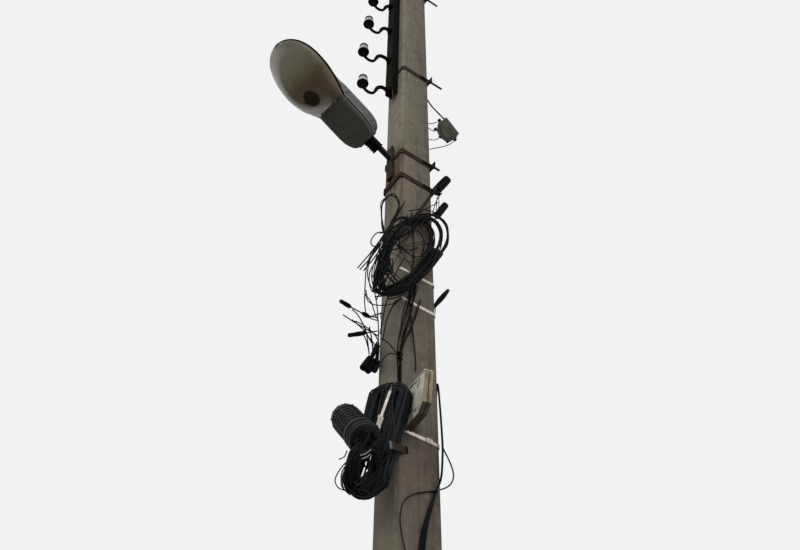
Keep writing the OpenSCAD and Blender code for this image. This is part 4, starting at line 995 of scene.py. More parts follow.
def closure_leads():
    """Cables from the closure's ports down to the bottom of the coil."""
    b = Builder()
    for route, count, near, far, radius, loose in LEAD_SETS:
        last = len(route) - 1
        for k in range(count):
            side, back = rng.uniform(-1, 1), rng.uniform(-LEAD_DEPTH, LEAD_DEPTH)
            points = []
            for i in range(len(route)):
                reach = lerp(near, far, math.sin(math.pi * i / last))
                px, py = beside([p[:2] for p in route], i, side * reach + rng.gauss(0, loose), False)
                points.append(on_y(px, py, route[i][2] + back + rng.gauss(0, LEAD_WOBBLE)))
            b.tube(catmull(points, 0.016), radius * rng.uniform(*LEAD_R_SHARE), 6)
    for port, a in enumerate(PORT_TURNS):
        at = Vector((PORT_OFF * math.cos(a), PORT_OFF * math.sin(a), 0))
        start = [CLOSURE @ (at - Vector((0, 0, out))) for out in (0.02, 0.055)]
        end = [on_y(px + port - 2, py, y) for px, py, y in LEAD_ROUTE[2:5]]
        b.tube(catmull(start + end, 0.016), PORT_CABLE_R, 8)
    for route in SLACK_LEADS:
        b.tube(catmull(at_y(route, SLACK_Y), 0.012), THIN_LEAD_R, 6)
    # painted glints: thin pale tubes along two leads
    b.slot = 1
    for route in GLINT_LEADS:
        b.tube(catmull(at_y(route, GLINT_Y), 0.010), THIN_LEAD_R, 6)
    b.make("closure_lead_cables", ["cable_black", "pale_tape"], replaces=["closure_leads"])


# The riser's cables lie behind one another at their tie, and side by side further down
RISER_BACK, RISER_HEIGHTS = 0.006, (3.7, 2.6, 1.3, 0.02)
RISER_TIE, RISER_TIE_R, RISER_TIE_W = (436.6, 490.6), 0.010, 0.006


def riser():
    """Three cables and a thin wire down the wide face to the ground."""
    b = Builder()
    for k in (-1, 0, 1):
        line, on_face = [], FACE_Y - FIT - RISER_D / 2
        for i, (px, py) in enumerate(RISER_VIEW):
            at, share = on_y(px, py, on_face), min(1, 0.15 + i / 4)
            line.append((at.x + k * RISER_GAP * share, on_face - (1 - k) * RISER_BACK * (1 - share), at.z))
        line += [(RISER_X + k * RISER_GAP, on_face, z) for z in RISER_HEIGHTS]
        b.tube(catmull(line, 0.06), RISER_R, 10)
    b.tube(catmull([(x, FACE_Y - FIT - WIRE_D / 2 + y, z) for x, y, z in THIN_ROUTE], 0.03), WIRE_D / 2, 8)
    b.slot = 1
    ring_tie(b, on_y(*RISER_TIE, FACE_Y - 0.012), RISER_TIE_R, RISER_TIE_W)
    b.make("riser_cable_run", ["cable_black", "pale_tape"], replaces=["riser_cables"])


# The cables on the right face: heights there, the first one's Y, the step to the next, and how far out
EDGE_HEIGHTS, EDGE_Y, EDGE_PITCH, EDGE_OUT = (5.060, 4.920, 4.780), -0.054, 0.0103, 0.0055
EDGE_CABLE_R, EDGE_THIN_R, EDGE_LIFT, EDGE_STEP = 0.005, 0.0034, 0.012, 0.010
EDGE_SIDE_X = half_w(4.6) + 0.006


def edge_run():
    """Two cables down the right face, and the thin one that bulges out, as far as their tie."""
    b = Builder()
    for k in (0, 1):
        top = [(half_w(z) + EDGE_OUT, EDGE_Y + EDGE_PITCH * k, z) for z in EDGE_HEIGHTS]
        low = [on_plane(px, py, (EDGE_SIDE_X, 0, 0), Vector((1, 0, 0))) for px, py in EDGE_BUNDLE[:2]]
        face = at_y(EDGE_BUNDLE[3:], FACE_Y - EDGE_LIFT - EDGE_STEP * k)
        b.tube(catmull(top + low + face, 0.02), EDGE_CABLE_R, 8)
    b.tube(catmull(at_y(EDGE_LOOP, FACE_Y - EDGE_STEP), 0.02), EDGE_THIN_R, 8)
    b.make("edge_cable_run", ["cable_black"], replaces=["side_run"])


# Fittings

CASE_CUT = 0.24
# The stepped case: shares of its length, with the share of its width that it has there
CASE_STEPS = [(0, 0.50), (0.04, 0.62), (0.30, 0.92), (0.36, 1.0), (0.62, 1.0), (0.68, 0.90), (0.93, 0.66),
              (1, 0.50)]
BAIL_R, RIB_FOOT = 0.0022, 0.84


def ring_section(w, t, cut):
    """A rectangle with cut corners, round a drop clamp's case."""
    x, y = w / 2, t / 2
    upper = [(x, y - cut), (x - cut, y), (cut - x, y), (-x, y - cut)]
    return upper + [(-px, -py) for px, py in upper]


def loft(b, frame, sections):
    """A closed body through sections (z, width, thickness), each with cut corners."""
    b.skin([[frame @ Vector((x, y, z)) for x, y in ring_section(w, t, min(w, t) * CASE_CUT)]
            for z, w, t in sections])


def aimed(tail, tip):
    """A frame at tail with Z towards tip."""
    way = (Vector(tip) - Vector(tail)).normalized()
    frame = way.to_track_quat("Z", "Y").to_matrix().to_4x4()
    frame.translation = Vector(tail)
    return frame


def wedge_case(b, tail, way, length, w, ribs=0, blunt=0.0):
    """A drop clamp's case, stepped or ribbed, from tail to nose."""
    tail = Vector(tail)
    frame = aimed(tail, tail + Vector(way))
    shares = [] if ribs else CASE_STEPS
    for k in range(ribs):
        wide = lerp(0.62 + 0.38 * math.sin(math.pi * (k + 0.5) / ribs), 1.0, blunt)
        steps = (0, wide * RIB_FOOT), (0.2, wide), (0.65, wide), (0.9, wide * RIB_FOOT)
        shares += [((k + a) / ribs, c) for a, c in steps]
    thick = lerp(0.72, 0.95, blunt)
    loft(b, frame, [(length * a, w * c, w * c * thick) for a, c in shares])
    b.tube([frame @ Vector((0, 0, length * 0.9)), frame @ Vector((0, 0, length))], w * 0.16, 8)


def bail(b, anchor, tail, spread):
    """The wire bail between an anchor and a clamp's tail: two legs that close round the anchor."""
    frame = aimed(anchor, tail)
    length = (Vector(tail) - Vector(anchor)).length
    leg = [(0.5, 1), (0.55, 0.5), (0.45, 0.12)]
    line = leg + [(0, 0)] + [(-x, z) for x, z in reversed(leg)]
    b.tube(catmull([frame @ Vector((x * spread, 0, z * length)) for x, z in line], 0.008), BAIL_R, 8)


WEDGE_LEN, SMALL_WEDGE_D, BAIL_D, STRAP_T, EYE_T, CLAMP_Y = 0.202, 0.038, 0.005, 0.001, 0.006, 0.060
# The bail's direction and length, then the case's direction, length, width, ribs and bluntness
RIGHT_CLAMPS = [((7, 40, 71), 0.082, (0.44, 0, 0.9), WEDGE_LEN, 0.062, 7, 0.8),
                ((18, 40, -151), 0.157, (0.4, 0, 0.92), 0.165, 0.046, 6, 0.9),
                ((13, 0, 108), 0.109, (0.46, 0, 0.89), WEDGE_LEN, SMALL_WEDGE_D, 10, 0.0)]
LAMP_LOWER_Z, STRAP_MIDDLE_Z = 6.417, 5.360
STUD_Y, STUD_D = -(POLE_D / 2 + FIT + 0.011), 0.014
LAMP_STUD_END = half_w(LAMP_LOWER_Z - 0.025) + FIT + 0.055


def hung_clamp(b, anchor, bail_way, bail_len, way, length, d, ribs, blunt):
    """A clamp on its bail, from the anchor point on."""
    tail = Vector(anchor) + Vector(bail_way).normalized() * bail_len
    bail(b, anchor, tail + Vector(way).normalized() * 0.010, 0.012)
    wedge_case(b, tail, way, length, d, ribs, blunt)


# At the left: the clamp in the middle, then each rod's eye, its start and its end
SPAN_ROD_Y = 0.060
NODE_CLAMP = ((369.5, 317), (362.0, 312.8))
SPAN_RODS = [((363, 313.6), (351.2, 307.4), (339.6, 300.4)), ((377.5, 331), (365.2, 333), (348.0, 335.4))]
ROD_R, ROD_END_R, ROD_WIRE_R, NODE_W = 0.0118, 0.0045, 0.0035, 0.024


def rod_case(b, start, end):
    """A fat round rod with a step at each end."""
    length = (end - start).length
    thin = ROD_R * 0.92
    b.lathe([(ROD_END_R, 0), (0.0075, 0.004), (ROD_R, 0.012), (ROD_R, length * 0.55), (thin, length * 0.57),
             (thin, length - 0.008), (ROD_END_R, length)], aimed(start, end), 16)


def drop_clamps():
    """The drop lines' clamps: three at the right with their eyes, and the ones that start the left row."""
    rim = STUD_D / 2 + FIT + BAIL_D / 2
    right, left = Builder(), Builder()
    eyes = (LAMP_STUD_END - 0.008, LAMP_STUD_END - 0.018)
    for x in eyes:
        frame = Matrix.Translation((x, STUD_Y, LAMP_LOWER_Z)) @ turned(90, "Y")
        right.washer(frame, STUD_D / 2 + FIT, STUD_D / 2 + FIT + BAIL_D, -EYE_T / 2, EYE_T / 2, 20)
    side = half_w(STRAP_MIDDLE_Z) + 2 * FIT + STRAP_T + BAIL_D / 2
    anchors = ((eyes[0], STUD_Y, LAMP_LOWER_Z + rim), (eyes[1], STUD_Y, LAMP_LOWER_Z - rim),
               (side, -CLAMP_Y, STRAP_MIDDLE_Z))
    for anchor, values in zip(anchors, RIGHT_CLAMPS):
        hung_clamp(right, anchor, *values)
    right.make("drop_clamps_right", ["clamp_black"], replaces=["anchor_clamps_right"], angle=30)
    bail(left, (-side, CLAMP_Y, STRAP_MIDDLE_Z), on_y(*NODE_CLAMP[0], SPAN_ROD_Y), 0.014)
    node, node_end = (on_y(px, py, SPAN_ROD_Y) for px, py in NODE_CLAMP)
    wedge_case(left, node, node_end - node, (node_end - node).length, NODE_W)
    for start, rod, end in SPAN_RODS:
        a, c, d = (on_y(px, py, SPAN_ROD_Y) for px, py in (start, rod, end))
        rod_case(left, c, d)
        left.tube([a, c], ROD_WIRE_R, 8)
    left.make("drop_clamps_left", ["clamp_black"], replaces=["anchor_clamps_left"], angle=30)


# The left row's block clamps: tail, tip, width and material
BLOCK_CLAMPS = [((370.4, 358.4), (362.8, 368.4), 0.040, 0), ((373.6, 360.6), (367.6, 371.6), 0.036, 0),
                ((378.0, 362.0), (374.2, 371.4), 0.030, 1)]
BLOCK_Y, THICK_TAIL_R, LEFT_TAIL_R = 0.060, 0.0064, 0.0034
THICK_TAILS = [[(378.2, 343.4), (376.4, 350), (372.4, 357.6)],
               [(377.2, 344.6), (374.6, 351), (369.6, 358.6)],
               [(378.8, 345.4), (377.6, 352), (375.6, 360)],
               [(377.6, 348), (373.6, 354), (367.6, 361)],
               [(378.4, 350), (377.8, 356), (377.6, 363)]]
LEFT_TAILS = [[(378, 318), (372, 316.6), (366, 315)],
              [(378.4, 320.6), (372, 319), (366, 315)],
              [(378, 335.9), (372.3, 332.5), (367.1, 329.6), (360.3, 325.6), (353.4, 321.6), (343, 314.7)],
              [(352, 319.6), (359.1, 325.6), (363.1, 329.6), (366, 334)],
              [(351.9, 309.6), (356.8, 313.5), (360.8, 319.9), (363.7, 325.6), (366, 331.3), (367.7, 341.7),
               (369.2, 354.3)],
              [(363.7, 335), (367.1, 343.4), (369.2, 353.5)],
              [(369.4, 326.7), (371.7, 338.8), (372.9, 351.4), (373.4, 357)],
              [(367.7, 335.9), (371.7, 340.5), (376.2, 346.7)],
              [(377.6, 345), (376, 352), (373, 358)],
              [(364.4, 329), (368.4, 337), (373.4, 346)],
              [(355, 321), (362.6, 324.6), (370, 330), (376.4, 337), (378.6, 343)],
              [(378.6, 340), (377.4, 350), (377, 360)],
              [(376.8, 342), (373, 350), (370, 358)]]


def span_fittings():
    """The row of clamps at the left, with the tails that join them."""
    b = Builder()
    for tail, tip, wide, slot in BLOCK_CLAMPS:
        b.slot = slot
        a, c = on_y(*tail, BLOCK_Y), on_y(*tip, BLOCK_Y)
        wedge_case(b, a, c - a, (c - a).length, wide, 4, 0.85)
    b.slot = 0
    for i, route in enumerate(THICK_TAILS):
        b.tube(catmull(at_y(route, SPAN_ROD_Y - 0.006 * i), 0.015), THICK_TAIL_R, 8)
    for i, route in enumerate(LEFT_TAILS):
        b.tube(catmull(at_y(route, SPAN_ROD_Y + 0.004 * i), 0.015), LEFT_TAIL_R, 6)
    b.make("span_fittings_left", ["clamp_black", "blue_black"], angle=30)


# The closure's wall behind its ribs, the rounding of its dome, and the radius that closes a turned end
WALL_R, DOME_SHARE, TIP_R = CLOSURE_R - 0.006, 0.55, 0.0005
RIM_R, RIB_R_OUT, DOME_RIBS = CLOSURE_R + 0.003, CLOSURE_R - 0.001, 12
# Radius and height: one ring rib, the base, the clamp ring round it, and a port
RING_RIB = [(WALL_R, -0.001), (RIB_R_OUT, 0.001), (RIB_R_OUT, 0.007), (WALL_R, 0.009)]
BASE_PROFILE = [(TIP_R, 0.004), (0.030, 0.004), (0.034, 0.0), (RIM_R - 0.010, 0.0), (RIM_R - 0.004, 0.004),
                (RIM_R - 0.004, 0.022), (TIP_R, 0.022)]
CLAMP_PROFILE = [(TIP_R, 0.022), (RIM_R - 0.003, 0.022), (RIM_R, 0.026), (RIM_R, 0.036),
                 (RIM_R - 0.003, 0.040), (TIP_R, 0.040)]
PORT_PROFILE = [(TIP_R, 0.006), (0.0135, 0.006), (0.0130, -0.022), (0.0105, -0.040), (TIP_R, -0.040)]
GLINT_TURNS, GLINT_Z, GLINT_R = [math.radians(a) for a in range(-205, -20, 8)], 0.031, 0.0017


def closure_dome():
    """The closure's dome with ring ribs, lengthwise ribs and a lug."""
    b = Builder()
    dome_r = WALL_R * DOME_SHARE
    straight = CLOSURE_LEN - CLOSURE_BASE - dome_r
    top = CLOSURE_BASE + straight
    profile = [(WALL_R, CLOSURE_BASE)]
    for k in range(CLOSURE_RIBS):
        z = CLOSURE_BASE + 0.012 + k * (straight - 0.020) / CLOSURE_RIBS
        profile += [(r, z + up) for r, up in RING_RIB]
    for a in (math.radians(12 * k) for k in range(8)):
        profile.append((WALL_R * math.cos(a), top + dome_r * math.sin(a)))
    b.lathe(profile + [(TIP_R, top + dome_r)], CLOSURE)
    low, high = (WALL_R - 0.003, -0.0022, CLOSURE_BASE + 0.004), (CLOSURE_R - 0.0020, 0.0022, top + 0.004)
    for k in range(DOME_RIBS):
        b.block(low, high, CLOSURE @ turned(360 / DOME_RIBS * k, "Z"), 0.0008)
    lug = CLOSURE @ turned(50, "Z")
    b.block((WALL_R - 0.004, -0.010, top - 0.020), (CLOSURE_R + 0.010, 0.010, top + 0.004), lug, 0.002)
    b.make("closure_ribbed_dome", ["closure_black"], replaces=["closure_dome"], angle=35)


def closure_base():
    """The closure's base with its clamp ring, clasp and ports, and a painted glint, a thin grey tube, on the
    ring.
    """
    b = Builder()
    b.lathe(BASE_PROFILE, CLOSURE)
    b.lathe(CLAMP_PROFILE, CLOSURE)
    b.slot = 1
    for a in PORT_TURNS:
        port = CLOSURE @ Matrix.Translation((PORT_OFF * math.cos(a), PORT_OFF * math.sin(a), 0))
        b.lathe(PORT_PROFILE, port, 20)
    clasp = CLOSURE @ turned(-60, "Z")
    b.block((RIM_R - 0.003, -0.014, 0.024), (RIM_R + 0.004, 0.014, 0.038), clasp, 0.002)
    # painted glint: a thin grey tube along the clamp ring
    b.slot = 2
    line = [CLOSURE @ Vector((RIM_R * math.cos(a), RIM_R * math.sin(a), GLINT_Z)) for a in GLINT_TURNS]
    b.tube(line, GLINT_R, 6)
    b.make("closure_base_ports", ["closure_black", "clamp_black", "rim_grey"], replaces=["closure_base"],
           angle=35)


# The hanger strap's bends over the coil: picture point, and how far in front of its eye
STRAP_OVER = [(390.2, 391.0, 0.026), (394.6, 383.0, 0.014)]
EYE_OUT, BAND_Z = 0.104, 0.060


def closure_hanger():
    """The band round the closure, its plate, and the strap over the coil's front to its hook."""
    b = Builder()
    r, z = CLOSURE_R + FIT, BAND_Z
    b.slot = 1
    b.washer(CLOSURE, r, r + 0.002, z, z + 0.020)
    b.slot = 0
    eye = COIL_HOOK @ Vector((0, -EYE_OUT, 0))
    start = CLOSURE @ Vector((CLOSURE_R + 0.001, 0, z + 0.010))
    low = lerp(start, eye, 0.02)
    mid = lerp(start, eye, 0.46)
    frame = aimed(low, eye)
    plate = (mid - low).length
    b.block((-0.001, -0.0115, 0), (0.001, 0.0115, plate), frame, 0.0006)
    b.block((-0.0025, -0.0135, plate - 0.016), (0.0025, 0.0135, plate + 0.004), frame, 0.001)
    path = [mid] + [on_y(px, py, eye.y - out) for px, py, out in STRAP_OVER]
    path += [COIL_HOOK @ Vector((0, -y, z)) for y, z in ((0.03, 0.040), (0.02, 0.010))]
    for a, c in zip(path, path[1:]):
        b.block((-0.0008, -0.0065, -0.001), (0.0008, 0.0065, (c - a).length + 0.001), aimed(a, c), 0.0004)
    ring = COIL_HOOK @ Matrix.Translation((0, -EYE_OUT + 0.004, 0)) @ turned(90, "X")
    b.washer(ring, 0.0063, 0.0103, 0, 0.008, 20)
    b.make("closure_hanger_strap", ["bright_strap", "closure_black"], replaces=["closure_hanger"], angle=30)


COIL_BRACKET = ((390.4, 445), (405.5, 450.5))
BRACKET_FRONT_Y = -0.215


def coil_bracket():
    """A rusty flat bar bolted to the face, out past the coil, with its outer end painted pale as a highlight.
    """
    b = Builder()
    end, foot = on_y(*COIL_BRACKET[0], BRACKET_FRONT_Y), on_y(*COIL_BRACKET[1], FACE_Y - FIT)
    frame = aimed(end, foot)
    length = (foot - end).length
    b.block((-0.004, -0.016, 0.003), (0.004, 0.016, length), frame, 0.001)
    b.block((-0.012, -0.018, length - 0.004), (0.012, 0.018, length), frame, 0.001)
    # painted highlight: the outer end is pale
    b.slot = 1
    b.block((-0.0044, -0.0164, 0), (0.0044, 0.0164, 0.006), frame, 0.001)
    b.make("coil_bracket", ["rusty_steel", "pale_tape"], angle=30)


def shrunk(frame, outline, x, inset):
    """The outline's points at x, drawn in towards their middle by about inset."""
    cy, cz = (sum(p[i] for p in outline) / len(outline) for i in (0, 1))
    reach = max(abs(p[0] - cy) for p in outline)
    share = 1 - inset / reach
    return [frame @ Vector((x, cy + (y - cy) * share, cz + (z - cz) * share)) for y, z in outline]


def slab(b, frame, outline, x0, x1, edge):
    """A plate across X whose outline is given in Y and Z, with its edges cut back."""
    profile = ((x0, edge), (x0 + edge, 0), (x1 - edge, 0), (x1, edge))
    b.skin([shrunk(frame, outline, x, inset) for x, inset in profile])


BORDER_SOFT = 0.0012


def border(b, frame, outline, width, x0, x1):
    """A raised border of a plate."""
    soft = BORDER_SOFT
    profile = ((x1, 0), (x0 + soft, 0), (x0, soft), (x0, width - soft), (x0 + soft, width), (x1, width))
    b.skin([shrunk(frame, outline, x, inset) for x, inset in profile], True)


BOX_CUT, BOX_RIM, BOX_RIM_OUT, BOX_FOOT, BOX_GROOVE = 0.040, 0.009, 0.002, 0.016, 0.005
# The lid's slots: both ends as picture points, and the width in pixels
BOX_SLOTS = [((410.2, 388.6), (412.2, 386.2), 2.6), ((411.6, 386.8), (418.2, 380.4), 1.4),
             ((417.0, 387.2), (418.6, 383.0), 2.4), ((419.6, 382.4), (419.6, 377.4), 1.5),
             ((414.0, 412.0), (416.2, 408.4), 2.6), ((411.2, 411.8), (413.2, 408.8), 1.2)]
PX_SIZE = 0.0046  # metres across one pixel at the lid


def terminal_box_shell():
    """The box and its lid with a cut lower corner, a raised border, slots and the groove between them."""
    top, low = BOX_H / 2, BOX_FOOT - BOX_H / 2
    outline = [(0, low), (0, top), (-BOX_W + 0.010, top), (-BOX_W, top - 0.010), (-BOX_W, low + BOX_CUT),
               (-BOX_W + BOX_CUT, low)]
    b = Builder()
    slab(b, BOX, outline, BOX_RIM_OUT, LID_D, 0.0015)
    border(b, BOX, outline, BOX_RIM, 0.0, BOX_RIM_OUT + 0.001)
    # painted shade: thin black plates on the lid stand for the shaded inside of its slots
    b.slot = 1
    for start, end, wide in BOX_SLOTS:
        at, out = BOX @ Vector((BOX_RIM_OUT, 0, 0)), BOX.to_3x3() @ Vector((1, 0, 0))
        a, c = (on_plane(px, py, at, out) for px, py in (start, end))
        way = (BOX.inverted().to_3x3() @ (c - a)).normalized()
        turn = turned(math.degrees(math.atan2(way.z, way.y)), "X")
        place = Matrix.Translation(a) @ BOX.to_3x3().to_4x4() @ turn
        half = PX_SIZE * wide / 2
        b.block((-0.0006, 0, -half), (0.0010, (c - a).length, half), place)
    b.make("terminal_lid_shell", ["box_cream", "clamp_black"], replaces=["terminal_box_lid"], angle=30)
    b = Builder()
    slab(b, BOX, outline, LID_D + BOX_GROOVE, LID_D + BOX_D, 0.0015)
    b.slot = 1
    small = [(-0.003, low + 0.006), (-0.003, top - 0.006), (-BOX_W + 0.014, top - 0.006),
             (-BOX_W + 0.006, top - 0.014), (-BOX_W + 0.006, low + BOX_CUT), (-BOX_W + BOX_CUT, low + 0.006)]
    slab(b, BOX, small, LID_D - 0.001, LID_D + BOX_GROOVE + 0.001, 0.0002)
    b.make("terminal_box_shell", ["box_cream", "groove_brown"], replaces=["terminal_box"], angle=30)


INSULATOR_R, INSULATOR_H, HOOK_BAR_R = 0.039, 0.088, 0.009


def insulator_skirts():
    """Painted shade, with dirt: a dark disc in the hollow underside of each insulator."""
    b = Builder()
    r, h, hole = INSULATOR_R, INSULATOR_H, HOOK_BAR_R + 0.001
    for k in range(1, 6):
        low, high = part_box("insulator_%d" % k)
        foot = Matrix.Translation(((low[0] + high[0]) / 2, (low[1] + high[1]) / 2, low[2]))
        b.lathe([(hole, h * 0.004), (r * 0.95, -h * 0.004), (r * 0.985, h * 0.01), (r * 0.95, h * 0.03),
                 (hole, h * 0.03)], foot, 32)
    b.make("insulator_skirts", ["clamp_black"])


# The hanging box in the picture: its middle, axis, outline, lugs, wires and lead
SPLICE_PX, SPLICE_Y = (447.4, 130.6), -0.060
SPLICE_AXIS = ((443.0, 123.4), (452.2, 137.8))
SPLICE_HALF_T, SPLICE_PANEL, SPLICE_PANEL_OUT, SPLICE_LUG = 0.020, 0.72, 0.006, 0.010
SPLICE_EDGE, SPLICE_LEAD_Z = 0.004, 7.490
SPLICE_OUTLINE = [(446.4, 118.2), (458.0, 133.0), (456.0, 138.4), (449.6, 141.8), (445.6, 141.0),
                  (440.2, 137.0), (437.0, 130.4), (438.4, 122.6)]
SPLICE_LUGS = [(439.4, 120.4), (435.4, 129.4), (440.6, 136.6), (447.6, 141.4), (455.0, 139.6),
               (457.0, 133.6), (445.6, 119.4)]
SPLICE_WIRES = [[(428.2, 123.7), (432, 123.6), (437.2, 122)],
                [(427.9, 126.9), (430.4, 129.6), (434.2, 131.4)],
                [(429.1, 139.3), (434.6, 140), (439.4, 137.6)],
                [(429.5, 149.5), (432.7, 148.6), (444.1, 146.4), (450, 144), (454.4, 141)]]
SPLICE_LEAD = [(432, 106.6), (438, 112.8), (444.4, 119.6)]
SPLICE_LEAD_R, SPLICE_WIRE_R = 0.005, 0.0028


def splice_frame():
    """The box's frame: Z along it, Y out of its back, its wide face towards the road."""
    at = on_y(*SPLICE_PX, SPLICE_Y)
    out = ((CAMERA_AT - at).normalized() * 0.8 + Vector((0, -1, 0)) * 0.3).normalized()
    a, c = (on_plane(px, py, at, out) for px, py in SPLICE_AXIS)
    z = (a - c).normalized()
    frame = Matrix(((-out).cross(z), -out, z)).transposed().to_4x4()
    frame.translation = at
    return frame, out


HOOK_TAPED_R, HOOK_BARE_R, HOOK_TAPED_SHARE = 0.0128, 0.0098, 0.46
# Nuts and washers on both sides of the channel's web: both ends in X, radius and sides
HOOK_NUTS = ((-0.018, -0.007, 0.0175, 6), (-0.007, -0.0053, 0.016, 20), (0.0053, 0.0100, 0.020, 20),
             (0.0100, 0.0215, 0.0175, 6))
# The hooks' bars: points in X from the insulator's axis and in Z from the shank
HOOK_ROUTE = [(0.165, -0.001), (0.142, -0.010), (0.116, -0.044), (0.100, -0.094), (0.084, -0.136),
              (0.058, -0.158), (0.030, -0.158), (0.006, -0.138), (0, -0.110), (0, -0.060)]
HOOK_SHANK_UP = 0.105


def hook_bars():
    """The hooks: a bar with a taped shank, bent down and round into the insulator, and what fixes it."""
    b = Builder()
    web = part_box("hook_channel")[0][0]
    for k in range(1, 6):
        low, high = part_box("insulator_%d" % k)
        axis_x, mid_y, z = (low[0] + high[0]) / 2, (low[1] + high[1]) / 2, low[2] + HOOK_SHANK_UP
        line = [Vector((x, mid_y, z)) for x in (web + 0.026, web - 0.004)]
        line += [Vector((axis_x + x, mid_y, z + dz)) for x, dz in HOOK_ROUTE]
        b.tube(catmull(line, 0.012), lambda t: HOOK_TAPED_R if t < HOOK_TAPED_SHARE else HOOK_BARE_R, 12)
        for x0, x1, r, sides in HOOK_NUTS:
            b.lathe([(r, x0), (r, x1)], Matrix.Translation((web, mid_y, z)) @ turned(90, "Y"), sides)
        b.block((web - 0.0053, mid_y - 0.025, z - 0.025), (web - 0.0003, mid_y + 0.025, z + 0.025),
                edge=0.001)
    b.make("hook_bars", ["dark_steel"], replaces=["hook_%d" % k for k in range(1, 6)])


def small_splice_box():
    """The hanging box with a raised panel front and back, its lugs, the lead it hangs on and thin wires."""
    frame, out = splice_frame()
    flat = frame @ turned(-90, "Z")
    outline = [(flat.inverted() @ on_plane(px, py, frame.translation, out)).yz for px, py in SPLICE_OUTLINE]
    b = Builder()
    slab(b, flat, outline, -SPLICE_HALF_T, SPLICE_HALF_T, SPLICE_EDGE)
    centre = sum(outline, Vector((0, 0))) / len(outline)
    inner = [centre + (p - centre) * SPLICE_PANEL for p in outline]
    near, far = SPLICE_HALF_T - 0.001, SPLICE_HALF_T + SPLICE_PANEL_OUT
    slab(b, flat, inner, near, far, SPLICE_EDGE)
    slab(b, flat, inner, -far, -near, SPLICE_EDGE)
    b.slot = 1
    for px, py in SPLICE_LUGS:
        lug = frame.copy()
        lug.translation = on_plane(px, py, frame.translation, out)
        b.block((-SPLICE_LUG,) * 3, (SPLICE_LUG,) * 3, lug, 0.003)
    b.make("splice_box_body", ["splice_green", "clamp_black"], replaces=["splice_box"], angle=30)

    b = Builder()
    lead = [Vector((half_w(SPLICE_LEAD_Z) + FIT, SPLICE_Y, SPLICE_LEAD_Z))]
    b.tube(catmull(lead + at_y(SPLICE_LEAD, SPLICE_Y), 0.02), SPLICE_LEAD_R, 8)
    for route in SPLICE_WIRES:
        b.tube(catmull(at_y(route, SPLICE_Y + 0.01), 0.015), SPLICE_WIRE_R, 6)
    b.make("splice_lead_wires", ["cable_black"], replaces=["splice_box_leads"])


# Lamp detail

# How far ribs and ridges are sunk into their wall
SUNK = 0.0004


def cover_side(v, w):
    """How far the gear cover's side wall is from its middle at a height, a little inside it."""
    h, e, half = cover_top(v), cover_bend(v), lamp_half(v)
    return half * max(0.0, 1 - min(1.0, w / h) ** (2 / e)) ** (e / 2) - SUNK


RIB_HEIGHTS, RIB_R = (0.022, 0.040, 0.058, 0.076, 0.094), 0.0018
RIB_STEPS = (0.012, 0.03, 0.06, 0.09, 0.12, 0.16, 0.20, 0.24, 0.27, 0.30)
GASKET_AND_SHADE_R = {-1: 0.0034, 1: 0.0062}


def lamp_ribs():
    """Fine lengthwise ribs on the cover's sides, and the dark rim between cover and bowl: a black gasket,
    thicker on one side, that also stands for painted shade under the cover's edge.
    """
    b = Builder()
    for side in (-1, 1):
        for w in RIB_HEIGHTS:
            line = [LAMP @ Vector((v, side * cover_side(v, w), w)) for v in RIB_STEPS]
            b.tube(catmull(line, 0.02), RIB_R, 6)
    b.make("cover_side_ribs", ["lamp_grey"])

    # a black gasket with painted shade: thicker on the side where the cover's edge is in shade
    b = Builder()
    for side in (-1, 1):
        vs = [SEAM_V + (TIP_V - SEAM_V) * math.sin(math.pi / 2 * k / 40) for k in range(41)]
        line = [LAMP @ Vector((v, side * max(0.0, lamp_half(v) - 0.0020), -0.0004)) for v in vs]
        b.tube(line, GASKET_AND_SHADE_R[side], 8)
    b.make("bowl_gasket_and_shade", ["clamp_black"])


# The tray's long ridges, where they run and where they are sampled, and its three ovals
TRAY_LINES = (-0.092, -0.078, -0.056, -0.034, -0.012)
RIDGE_STEPS, RIDGE_R = (0.05, 0.08, 0.11, 0.15, 0.19, 0.23, 0.27, 0.285), 0.0036
OVAL_AT, OVAL_SIZE, OVAL_STEP, OVAL_R = (0.085, -0.038), (0.050, 0.036), (0.014, 0.010), 0.0034


def tray_point(v, y):
    """A point of the tray's underside, a little inside it."""
    half, h = lamp_half(v) - TRAY_INSET, tray_depth(v)
    share = min(0.999, abs(y) / half)
    return LAMP @ Vector((v, y, -0.001 - h * (1 - share ** (2 / TRAY_BEND)) ** (TRAY_BEND / 2) + SUNK))


def tray_ridges():
    """Raised ridges cast in the tray's underside: long ones and three ovals."""
    b = Builder()
    for y in TRAY_LINES:
        line = [tray_point(v, y * lerp(0.7, 1, min(1, v / 0.1))) for v in RIDGE_STEPS]
        b.tube(catmull(line, 0.02), RIDGE_R, 6)
    for k in range(3):
        rv, ry = (size - step * k for size, step in zip(OVAL_SIZE, OVAL_STEP))
        line = [tray_point(OVAL_AT[0] + rv * math.cos(a), OVAL_AT[1] + ry * math.sin(a)) for a in circle(20)]
        b.tube(line, OVAL_R, 6, closed=True)
    b.make("tray_ridges", ["ridge_grey"], "tray_grey")


# Build

